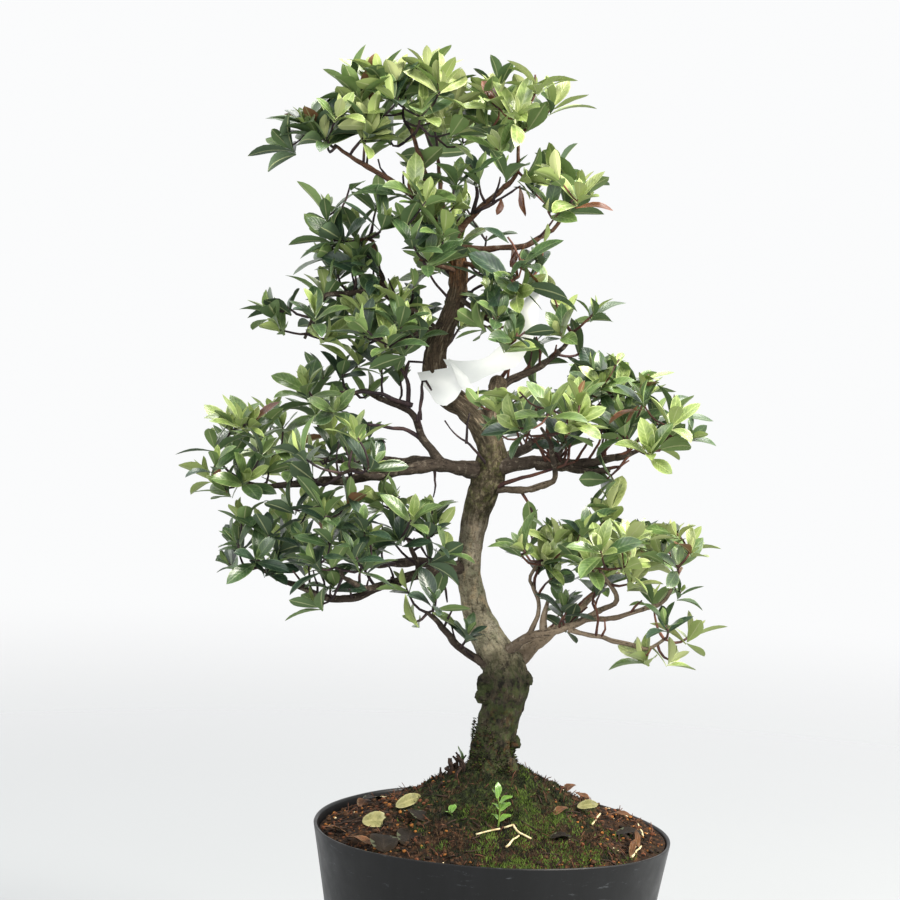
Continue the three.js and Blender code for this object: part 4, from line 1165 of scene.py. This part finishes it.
# Between these heights the bark is smooth. Above them its relief grows over a rise
SMOOTH_BARK = (215, 285)
SMOOTH_RELIEF = 0.32
ROUGH_RELIEF = 0.75
ADDED_RELIEF = 0.35
RELIEF_RISE = 40
# The share of the bark's relief that lies level with its limb's radius
PLATE_LEVEL = 0.6
TRUNK_LUMPS = 0.9
# The trunk's foot goes this far into the mound, and widens there
FOOT_DEPTH = 7
FOOT_SPREAD = 1.12
STUB_SIDES = 36
# Boughs: how fine they are, their girth as a share of the source's, and how much they swell at the root
# and at old buds, are lumpy and cracked, and wander
BOUGH_STEP = 1.5
BOUGH_SIDES = (12, 28)
BOUGH_GIRTH = 0.88
ROOT_SWELL = 0.3
BUD_SWELL = 0.16
BOUGH_LUMPS = 0.14
BOUGH_RELIEF = 0.5
BOUGH_WANDER = 1.1
BARE_TWIG_RADII = (0.75, 0.4)
# Twigs are dark to the left and redder to the right
TWIG_TONES = {"dark": ("1c1618", "33272a", "54403c"), "red": ("33242a", "56382f", "7f5340")}
TWIGS_RED_FROM = -8

trunk = Curve([row[:3] for row in TRUNK_BENDS], *[row[3] for row in TRUNK_BENDS])
limbs = {"trunk": trunk}
twigs, bare_twigs = [{side: Heap() for side in TWIG_TONES} for _ in range(2)]


def share_on(name, at):
    """A share of a limb's length. On the trunk it is given by a height."""
    return float(np.interp(at, trunk.points[:, 2], trunk.along) / trunk.length) if name == "trunk" else at


trunk.shares = [share_on("trunk", row[2]) for row in TRUNK_BENDS]


def point_on(name, at):
    return limbs[name].at(share_on(name, at))


def twig_side(point):
    return "red" if point[0] > TWIGS_RED_FROM else "dark"


def bark_relief(along, angle, radius, seed, wide, long, twist=0.0):
    """Cracks that run along a limb, from 0 in a crack to 1 on a plate."""
    angle, reach, place = angle + twist * along, radius / wide, along / long
    ridge = 1 - abs(ring_noise(angle, reach, place + seed) * 2)
    fine = ring_noise(angle, 2.3 * reach, 2.3 * place + seed + 31)
    return clip(1.15 * (1 - ridge) + 0.3 * fine + 0.2)


def build_trunk():
    shares = np.linspace(0, 1, int(trunk.length / TRUNK_STEP))
    points, angles, window = trunk.at(shares), turns(TRUNK_SIDES), 2 * EVENED_OVER + 1
    radius = np.pad(trunk.radius(shares), EVENED_OVER, mode="edge")
    radius = np.convolve(radius, np.ones(window) / window, "valid")
    heights = points[:, 2]
    flare = FLARE * np.exp(-(heights - GROUND) / FLARE_HEIGHT)
    radii = radius[:, None] + np.outer(flare, 1 + ROOT_SPUR_DEPTH * np.cos(ROOT_SPURS * angles))
    burly = FOOT_BURLS * np.clip((BURLY_TO - heights) / FOOT_BURLS_FADE, 0, 1)
    burly += np.exp(-(((heights - SECOND_FORK) / FORK_BURLS_REACH) ** 2))
    low, high = SMOOTH_BARK
    for i, (along, height, r) in enumerate(zip(shares * trunk.length, heights, radius)):
        rough = ROUGH_RELIEF + ADDED_RELIEF * clip((height - high) / RELIEF_RISE)
        if low < height < high:
            rough = SMOOTH_RELIEF
        for j, angle in enumerate(angles):
            lump = ring_noise(angle, r / 7, along / 9)
            plate = bark_relief(along, angle, r, 3.3, 3.4, 8.5, 0.012)
            burl = ring_noise(angle, r / 4, along / 5 + 40)
            crease = math.exp(-((height - CREASE - 2 * math.sin(angle + 1)) / 1.3) ** 2)
            bark = TRUNK_LUMPS * lump * min(1, r / 6) + rough * (plate - PLATE_LEVEL)
            radii[i, j] += bark + burly[i] * burl - CREASE_DEPTH * crease
    heap = Heap()
    points = np.vstack([points[0] - FOOT_DEPTH * UP, points])
    add_tube(heap, points, np.vstack([radii[0] * FOOT_SPREAD, radii]))
    add_stubs(heap)
    make_piece("trunk_wood", heap, [trunk_look()], ["trunk"])


def add_stubs(heap):
    """Ragged knobs, and the dead fork."""
    draw = seeded(19)
    for height, end, root_radius, tip_radius in STUBS:
        root = point_on("trunk", height)
        shares = np.linspace(0, 1, max(10, int(np.linalg.norm(end - root) / 0.9)))
        cap = np.sqrt(np.clip(1 - np.clip((shares - 0.86) / 0.14, 0, 1) ** 2, 0.05, 1))
        seed = draw(0, 50)
        girth = lerp(root_radius, tip_radius, shares)
        radii = [[
            g * c + 0.9 * (bark_relief(s * 20, a, g, seed, 2.8, 9) - PLATE_LEVEL)
            + 2.0 * ring_noise(a, 1.5, s * 4 + seed) + 0.9 * ring_noise(a, 4, s * 9 + seed)
            for a in turns(STUB_SIDES)] for s, g, c in zip(shares, girth, cap)]
        add_tube(heap, root + np.outer(shares, end - root), np.maximum(radii, 0.4))


def build_boughs():
    """All boughs as one piece, with their bare twigs. Gives their bark, which the stems share."""
    heap, bark = Heap(), bough_look()
    for index, (name, on, at, bends, root_radius, tip_radius) in enumerate(BOUGHS):
        limb = limbs[name] = Curve([point_on(on, at), *bends], root_radius, tip_radius)
        carried = limbs[on].radius(share_on(on, at))
        shares = np.linspace(0.8 * carried / limb.length, 1, int(limb.length / BOUGH_STEP) + 2)
        along, angles = shares * limb.length, turns(int(np.clip(root_radius * 7, *BOUGH_SIDES)))
        collar = np.exp(-np.maximum(0, along - 0.75 * carried) / (1.3 * root_radius))
        girth = BOUGH_GIRTH * limb.radius(shares) + ROOT_SWELL * root_radius * collar
        # small swellings where old buds were
        swell = [noise.noise((s / 6.5, index * 3.1, 0.5)) for s in along]
        radii = [[
            g * (1 + BUD_SWELL * w) + BOUGH_LUMPS * g * ring_noise(a, 1.3, s / 5 + index * 7)
            + BOUGH_RELIEF * min(1, g / 2) * (bark_relief(s, a, g, index * 5.7, 1.6, 7) - PLATE_LEVEL)
            for a in angles] for s, g, w in zip(along, girth, swell)]
        wander = np.array([[noise.noise((s / 11, index * 9.7 + k, 2.2)) for k in range(3)] for s in along])
        line = limb.at(shares) + wander * (BOUGH_WANDER * np.sin(math.pi * shares) ** 0.5)[:, None]
        add_tube(heap, line, np.array(radii))
        add_bare_twigs(limb, index)
    make_piece("bough_wood", heap, [bark], ["bough_" + row[0] for row in BOUGHS])
    return bark


def add_bare_twigs(limb, seed):
    """Short twigs without leaves along a bough."""
    draw = seeded(300 + seed)
    for _ in range(max(2, int(limb.length / 13))):
        share = draw(0.35, 0.97)
        root, heading = limb.at(share), limb.heading(share)
        side = around(heading, draw(0, FULL_TURN))
        side[2] = abs(side[2])
        aim = unit(side + heading * draw(0.1, 0.8) + UP * draw(0.1, 0.9))
        tip = root + aim * draw(7, 20)
        bend = lerp(root, tip, 0.5) + scatter(draw, (-2, 2), (-2, 2), (-2, 1))
        if not in_sky(tip):
            add_twig(bare_twigs[twig_side(tip)], Curve([root, bend, tip], *BARE_TWIG_RADII), sides=5)


# Foliage

# How a mass grows, as in the source, and carried on to finer twigs
FIRST_SEED = 41
STEM_LEAD = 0.3
STEM_RADIUS = 1.5
STEM_TIP_RADIUS = 0.75
BUD_RADIUS = 0.8
TWIG_TIP_RADIUS = 0.45
HEART_DROP = 0.3
STEM_BUDS = (0.4, 0.65, 0.92)
TUFT_LOWEST = -0.7
TUFT_DEPTH = (0.25, 0.78)
TIP_REACH = 1.24
TUFTS_FINER = 2.3
TWIG_BUDS = (0.4, 0.6, 0.85)
# Leaves grow longer from the lowest masses to the crown, and are shortened to fit where they can
LEAF_LENGTHS = (18, 22.5)
LEAF_HEIGHTS = (240, 480)
LEAF_SHARES = (1, 0.86, 0.72, 0.6)
# A whorl: how many leaves, their spacing down the twig, how far they spread from it at its tip and below,
# their width as a share of their length, how many are rusty, and how far they keep clear of the wood
WHORL_LEAVES = (6.3, 10)
WHORL_SPACING = 0.75
WHORL_SPREAD = (0.2, 1.2)
LEAF_WIDTHS = (0.33, 0.46)
RUSTY_SHARE = 0.014
WOOD_CLEARANCE = 0.6
# Fresh and lit masses have the lightest green too, partly as painted light
YOUNG_FROM = 0.58
# How far the leaves of a seen whorl may lie from the middle of its mass, and those of a shoot from its tip
SEEN_REACH = 60.0
SHOOT_REACH = 40.0
SHOOT_LENGTHS = (9, 19)
SHOOT_RADII = (0.85, 0.5)
# Shoots stand in the shade between the masses and take darker greens: painted shade
SHOOT_FRESH_AND_LIT = 0.3
SHOOT_SMALLNESS = 0.88
# Leaf colours: dark, light, rib and underside, from the darkest green to the lightest, and rust. The lighter
# greens go partly to whorls in painted light
LEAF_TONES = {
    "deep": ("263a2e", "324a37", "6d8159", "425742"), "dark": ("374d31", "4a663b", "8d9c6a", "566f44"),
    "mid": ("556d3d", "6d894b", "b5bf84", "799056"), "fresh_and_lit": ("778c4a", "98aa61", "d2d79e", "9eae68"),
    "young_and_lit": ("93a262", "aeb87b", "dcdfb4", "b2b97e"), "rust": ("4f2c20", "7d4a30", "9c6c4c", "84573d"),
}
GREENS = list(LEAF_TONES)[:-1]
TONE_LIMITS = (0.2, 0.52, 0.86)
LIGHT = np.array([0.35, -0.1, 0.9])

leaves = {tone: Heap() for tone in LEAF_TONES}


def in_sky(point):
    """Whether the camera sees a point in one of the crown's openings."""
    share = -CAMERA[1] / (point[1] - CAMERA[1])
    x, _, z = CAMERA + (np.asarray(point) - CAMERA) * share
    return any(low_x < x < high_x and low_z < z < high_z for low_x, low_z, high_x, high_z in SKY)


def wood_points():
    """Points along the trunk and boughs with their radius, which leaves keep clear of."""
    rows = []
    for limb in limbs.values():
        shares = np.linspace(0, 1, int(limb.length / 3) + 2)
        rows.append(np.column_stack([limb.at(shares), limb.radius(shares)]))
    return np.vstack(rows)


def grow_whorl(middle, reach, tip, axis, fresh_and_lit, draw, wood, small=1.0, lit=0.5):
    """Leaves round the end of a twig, small, upright and of a lighter new green at its tip, and longer and
    flatter below.
    """
    count, start = int(draw(*WHORL_LEAVES)), draw(0, FULL_TURN)
    # painted light: the green is lighter the fresher and more lit the mass is, and the more the whorl stands
    # in the light
    shade = draw() + 0.75 * (fresh_and_lit - 0.5) + 0.5 * (lit - 0.5)
    tone = sum(shade >= limit for limit in TONE_LIMITS)
    lightest = len(GREENS) - (1 if fresh_and_lit > YOUNG_FROM else 2)
    longest = np.interp(tip[2], LEAF_HEIGHTS, LEAF_LENGTHS) * small
    for k in range(count):
        ring = k / (count - 1)
        side = around(axis, start + k * GOLDEN_ANGLE + draw(-0.2, 0.2))
        spread = lerp(*WHORL_SPREAD, ring**0.85) + draw(-0.2, 0.2)
        heading = unit(axis * math.cos(spread) + side * math.sin(spread) - 0.08 * ring * UP)
        face = rolled(unit(axis - heading * (axis @ heading)), heading, draw(-0.35, 0.35))
        root = tip - axis * (k * WHORL_SPACING)
        length = longest * lerp(0.5, 1, min(1, 2 * ring)) * draw(0.8, 1.2)
        width = length * draw(*LEAF_WIDTHS)
        arch = draw(-0.1, 0.5) + 0.35 * ring
        bends = scatter(draw, (0.1, 0.5), (-0.3, 0.3), (0.0, 0.25))
        rust, shift = draw() < RUSTY_SHARE, draw()
        for share in LEAF_SHARES:
            half_way, end = [root + heading * part * share * length for part in (0.5, 0.97)]
            held = np.linalg.norm((end - middle) / reach) <= TIP_REACH
            if held and not in_sky(end) and not in_sky(half_way):
                break
        else:
            continue
        apart = [np.linalg.norm(wood[:, :3] - point, axis=1) - wood[:, 3] for point in (half_way, end)]
        if np.min(apart) < WOOD_CLEARANCE:
            continue
        step = (ring < 0.4) + (ring < 0.15) + (shift > 0.86) - (shift < 0.14)
        name = "rust" if rust else GREENS[min(lightest, max(0, tone + step))]
        add_leaf(leaves[name], root, heading, face, length * share, width * share, arch, *bends)


def stem_curve(on, middle, reach):
    """The stem of a mass, from its limb's tip or out of the trunk's side, to the heart of the mass."""
    heart = middle - HEART_DROP * reach[2] * UP
    if on not in limbs:
        return Curve([point_on("trunk", on), heart], STEM_RADIUS, STEM_TIP_RADIUS)
    limb = limbs[on]
    start = limb.at(1)
    lead = start + limb.heading(1) * STEM_LEAD * np.linalg.norm(heart - start)
    return Curve([start, lead, heart], 0.9 * limb.radius(1), STEM_TIP_RADIUS)


def grow_mass(name, on, middle, reach, tufts, fullness, fresh_and_lit, seed, wood):
    """A mass of foliage: its stem, and a twig and a whorl of leaves for each tuft."""
    draw = seeded(seed)
    middle, reach = np.array(middle, float), np.array(reach, float)
    stem, heap = stem_curve(on, middle, reach), twigs[twig_side(middle)]
    add_twig(heap, stem, sides=8, step=2.5, kind=1)
    buds = [(stem.at(share), BUD_RADIUS) for share in STEM_BUDS]
    count = round(tufts * TUFTS_FINER * fullness)
    start, heart = draw(0, FULL_TURN), stem.at(1)
    sites = []
    for k in range(count):
        rise = lerp(1, TUFT_LOWEST, (k + 0.5) / count)
        out = math.sqrt(1 - rise * rise) * level(start + k * GOLDEN_ANGLE) + rise * UP
        depth = lerp(*TUFT_DEPTH, max(draw() ** 0.7, rise))
        sites.append((middle + out * reach * depth, out, reach))
    for site in SEEN_WHORLS.get(name, ()):
        sites.append((np.array(site, float), unit((site - middle) / reach), np.full(3, SEEN_REACH)))
    sites.sort(key=lambda site: distance(site[0], heart))
    for site, out, within in sites:
        # the nearest bud bears the twig, and one near the heart rather than one further out
        bud, girth = min(buds, key=lambda b: distance(b[0], site) + 0.15 * distance(b[0], heart))
        sag = distance(site, bud) * scatter(draw, (-0.14, 0.14), (-0.14, 0.14), (-0.28, -0.04))
        if in_sky(site):
            continue
        route = Curve([bud, lerp(bud, site, 0.55) + sag, site], girth, TWIG_TIP_RADIUS)
        add_twig(heap, route, step=3.5)
        buds += [(route.at(share), max(0.5, girth * 0.85)) for share in TWIG_BUDS]
        lean = scatter(draw, (-0.35, 0.35), (-0.3, 0.35), (-0.25, 0.3))
        axis = unit(0.4 * route.heading(1) + 0.42 * out + 0.8 * UP + lean)
        # whorls on top, to the right and outside stand in the light
        lit = 0.5 + 0.5 * np.clip((site - middle) / reach @ LIGHT, -1, 1)
        grow_whorl(middle, within, site, axis, fresh_and_lit, draw, wood, lit=lit)


def grow_shoots(wood):
    """Short leafy shoots that grow straight from the limbs, in the shade between the masses."""
    draw, reach = seeded(11), np.full(3, SHOOT_REACH)
    for name, low, high, count in SHOOTS:
        limb = limbs[name]
        for k in range(count):
            share = share_on(name, lerp(low, high, (k + draw(0.1, 0.9)) / count))
            root, heading = limb.at(share), limb.heading(share)
            aim = unit(around(heading, k * GOLDEN_ANGLE + draw(-0.5, 0.5)) + 0.5 * UP + 0.3 * heading)
            tip = root + aim * (limb.radius(share) + draw(*SHOOT_LENGTHS))
            if in_sky(tip) or aim[2] < 0.1 or (name == "trunk" and aim[1] < -0.25):
                continue
            bend = lerp(root, tip, 0.5) + scatter(draw, (-2, 2), (-2, 2), (-2.5, 0.5))
            route = Curve([root, bend, tip], *SHOOT_RADII)
            add_twig(twigs[twig_side(tip)], route, step=3)
            axis = unit(route.heading(1) + 0.9 * UP + [draw(-0.3, 0.3), draw(-0.3, 0.3), 0])
            grow_whorl(tip, reach, tip, axis, SHOOT_FRESH_AND_LIT, draw, wood, small=SHOOT_SMALLNESS)


def build_foliage(bark):
    wood = wood_points()
    for index, row in enumerate(MASSES):
        grow_mass(*row, FIRST_SEED + index, wood)
    grow_shoots(wood)
    for k, (root, length) in enumerate(WITHERED):
        heading = unit([0.25 * math.cos(2.1 * k), -0.2, -1])
        front = np.array([math.sin(2.1 * k), -1.0, 0])
        face = unit(front - heading * (front @ heading))
        add_leaf(leaves["rust"], np.array(root), heading, face, length, WITHERED_WIDTH, 0.6, 0.6, 0.9, 0.5)
    for bends, root_radius, tip_radius in SEEN_TWIGS:
        route = Curve(bends, root_radius, 0.75 * tip_radius)
        add_twig(twigs[twig_side(bends[0])], route, sides=8, step=2.5, kind=int(root_radius > 2))
    nodes = ["foliage_" + row[0] for row in MASSES]
    for side, tones in TWIG_TONES.items():
        twig_bark = plain_look("twig_bark_" + side, "twig", *tones)
        make_piece("twigs_" + side, twigs[side], [twig_bark, bark], nodes)
        make_piece("bare_twigs_" + side, bare_twigs[side], [twig_bark], nodes)
    for tone, (dark, light, rib, back) in LEAF_TONES.items():
        face = leaf_look("leaf_" + tone, dark, light, rib)
        make_leaves("leaves_" + tone, leaves[tone], face, underleaf_look("under_" + tone, light, back), nodes)


# Paper tag

SHEET_ROWS = 24
SHEET_COLUMNS = 6
SHEET_THICKNESS = 0.35
# Each strip: its left edge, its right edge, and how far it bows towards the viewer
TAG_STRIPS = [
    # the band behind, which rises to the right
    ([(-34, 1.0, 353), (-23, -3, 352.8), (-12.7, -6, 355.2), (-8, -7, 360), (-2.8, -8, 364),
      (2.3, -8.5, 371.5), (3.4, -8.5, 381), (6.9, -8, 388.5), (9.6, -8, 392)],
     [(-28, 0.5, 344), (-20.4, -3.5, 341.7), (-12.3, -6.5, 346), (-6, -7.5, 348.6), (1.2, -8.5, 351.4),
      (7.2, -9, 360.4), (9.8, -9, 367), (11.2, -8.5, 378), (11.2, -8, 391.5)], 0.8),
    # the flap in front, with a round end
    ([(-46.4, 4.5, 345.6), (-43.5, 1.0, 340), (-40, -0.8, 336.2), (-36.6, -2.2, 331.4), (-33, -3, 330.4)],
     [(-26, -1.0, 350), (-24.2, -2, 345), (-23.8, -2.8, 340.8), (-26.9, -3.2, 334.2), (-31.4, -3.2, 330.6)],
     0.8),
    # the pointed fold between them
    ([(-31.5, 0.2, 353.6), (-28, -2.4, 346.5), (-24.6, -3.8, 339.5), (-17, -4.6, 336)],
     [(-25, -0.6, 350.6), (-22.3, -3, 346), (-19.6, -4.4, 341), (-16.2, -4.8, 335.7)], 0.3),
]


def add_sheet(heap, left, right, bulge):
    """A thin sheet between two edges."""
    shares, across = np.linspace(0, 1, SHEET_ROWS), np.linspace(0, 1, SHEET_COLUMNS)
    grid = lerp(Curve(left).at(shares)[:, None], Curve(right).at(shares)[:, None], across[:, None])
    grid[..., 1] -= bulge * np.outer(np.sin(math.pi * np.clip(shares, 0.1, 0.9)), np.sin(math.pi * across))
    normals = unit(np.cross(np.gradient(grid, axis=0), np.gradient(grid, axis=1)))
    half = normals * SHEET_THICKNESS / 2
    size = SHEET_ROWS * SHEET_COLUMNS
    index = np.arange(size).reshape(SHEET_ROWS, SHEET_COLUMNS)
    sheet = np.stack([index[:-1, :-1], index[1:, :-1], index[1:, 1:], index[:-1, 1:]], -1).reshape(-1, 4)
    rim = np.concatenate([index[0], index[1:, -1], index[-1, -2::-1], index[-2:0:-1, 0]])
    following = np.roll(rim, -1)
    edge = np.stack([rim, following, following + size, rim + size], 1)
    heap.add(np.vstack([*(grid + half), *(grid - half)]), [sheet, sheet[:, ::-1] + size, edge])


def build_tag():
    heap = Heap()
    for strip in TAG_STRIPS:
        add_sheet(heap, *strip)
    paper = plain_look("tag_paper", "paper", "e4e7e5", "f1f2ef")
    make_piece("tag_sheet", heap, [paper], ["paper_tag"], sharp_from=60)


# Stage: lamps are in metres, the floor's radius and the camera's place in millimetres

FLOOR_RADIUS = 7000
FLOOR_SIDES = 96
# The floor fades out between these distances from the pot's middle, in metres
FLOOR_FADE = (0.25, 1.6)
SKY_COLOUR = (0.965, 0.97, 0.975, 1)
# Lamps: name, place, size, power and colour
LAMPS = [
    ("key", (1.3, -0.7, 1.5), 0.8, 92, (1, 0.95, 0.86)), ("front", (-0.9, -1.6, 1.2), 1.2, 21, (1, 1, 1)),
    ("top", (0.1, 0.5, 1.9), 1.0, 24, (1, 0.98, 0.94)),
]
LAMPS_AIM = Vector((-0.02, 0, 0.33))


def build_floor():
    """A round floor that fades out round the pot."""
    look = Look("floor", 0.7, 0.2)
    look.set("Base Color", look.ramp(look.noise(900, 2), (0.3, "94979a"), (0.7, "989b9e")))
    clear = look.node("ShaderNodeBsdfTransparent", {})
    fade = look.span(look.distance(look.place), *FLOOR_FADE)
    blend = look.node("ShaderNodeMixShader", {0: fade, 1: look.shader.outputs[0], 2: clear})
    output = next(node for node in look.tree.nodes if node.type == "OUTPUT_MATERIAL")
    look.feed(output.inputs["Surface"], blend)
    heap = Heap()
    heap.add(circle(FLOOR_RADIUS, turns(FLOOR_SIDES), 0), [[range(FLOOR_SIDES)]])
    make_object("floor", heap, [look.material], smooth=False)


def build_lights(scene):
    world = scene.world = bpy.data.worlds.new("studio")
    world.use_nodes = True
    background = world.node_tree.nodes["Background"]
    background.inputs["Color"].default_value = SKY_COLOUR
    background.inputs["Strength"].default_value = 1.0
    for name, place, size, power, colour in LAMPS:
        light = bpy.data.lights.new(name, "AREA")
        light.color = colour
        light.size = size
        light.energy = power
        lamp = bpy.data.objects.new(name, light)
        lamp.location = place
        lamp.rotation_euler = (LAMPS_AIM - Vector(place)).to_track_quat("-Z", "Y").to_euler()
        scene.collection.objects.link(lamp)


def build_camera(scene):
    camera = bpy.data.objects.new("camera", bpy.data.cameras.new("camera"))
    camera.data.lens = CAMERA_LENS
    camera.data.sensor_width = CAMERA_SENSOR
    camera.data.clip_end = CAMERA_SIGHT
    forward = Vector((0, math.cos(CAMERA_PITCH), -math.sin(CAMERA_PITCH)))
    sideways, raised = Vector((1, 0, 0)), Vector((0, math.sin(CAMERA_PITCH), math.cos(CAMERA_PITCH)))
    right = sideways * math.cos(CAMERA_ROLL) + raised * math.sin(CAMERA_ROLL)
    top = raised * math.cos(CAMERA_ROLL) - sideways * math.sin(CAMERA_ROLL)
    turn = Matrix((right, top, -forward)).transposed().to_4x4()
    camera.matrix_world = Matrix.Translation(Vector(CAMERA * MM)) @ turn
    scene.collection.objects.link(camera)
    scene.camera = camera


def build_stage():
    scene = bpy.context.scene
    build_floor()
    build_lights(scene)
    build_camera(scene)
    scene.view_settings.view_transform = "Standard"


build_stage()
build_pot()
build_soil()
build_litter()
build_trunk()
build_foliage(build_boughs())
build_tag()
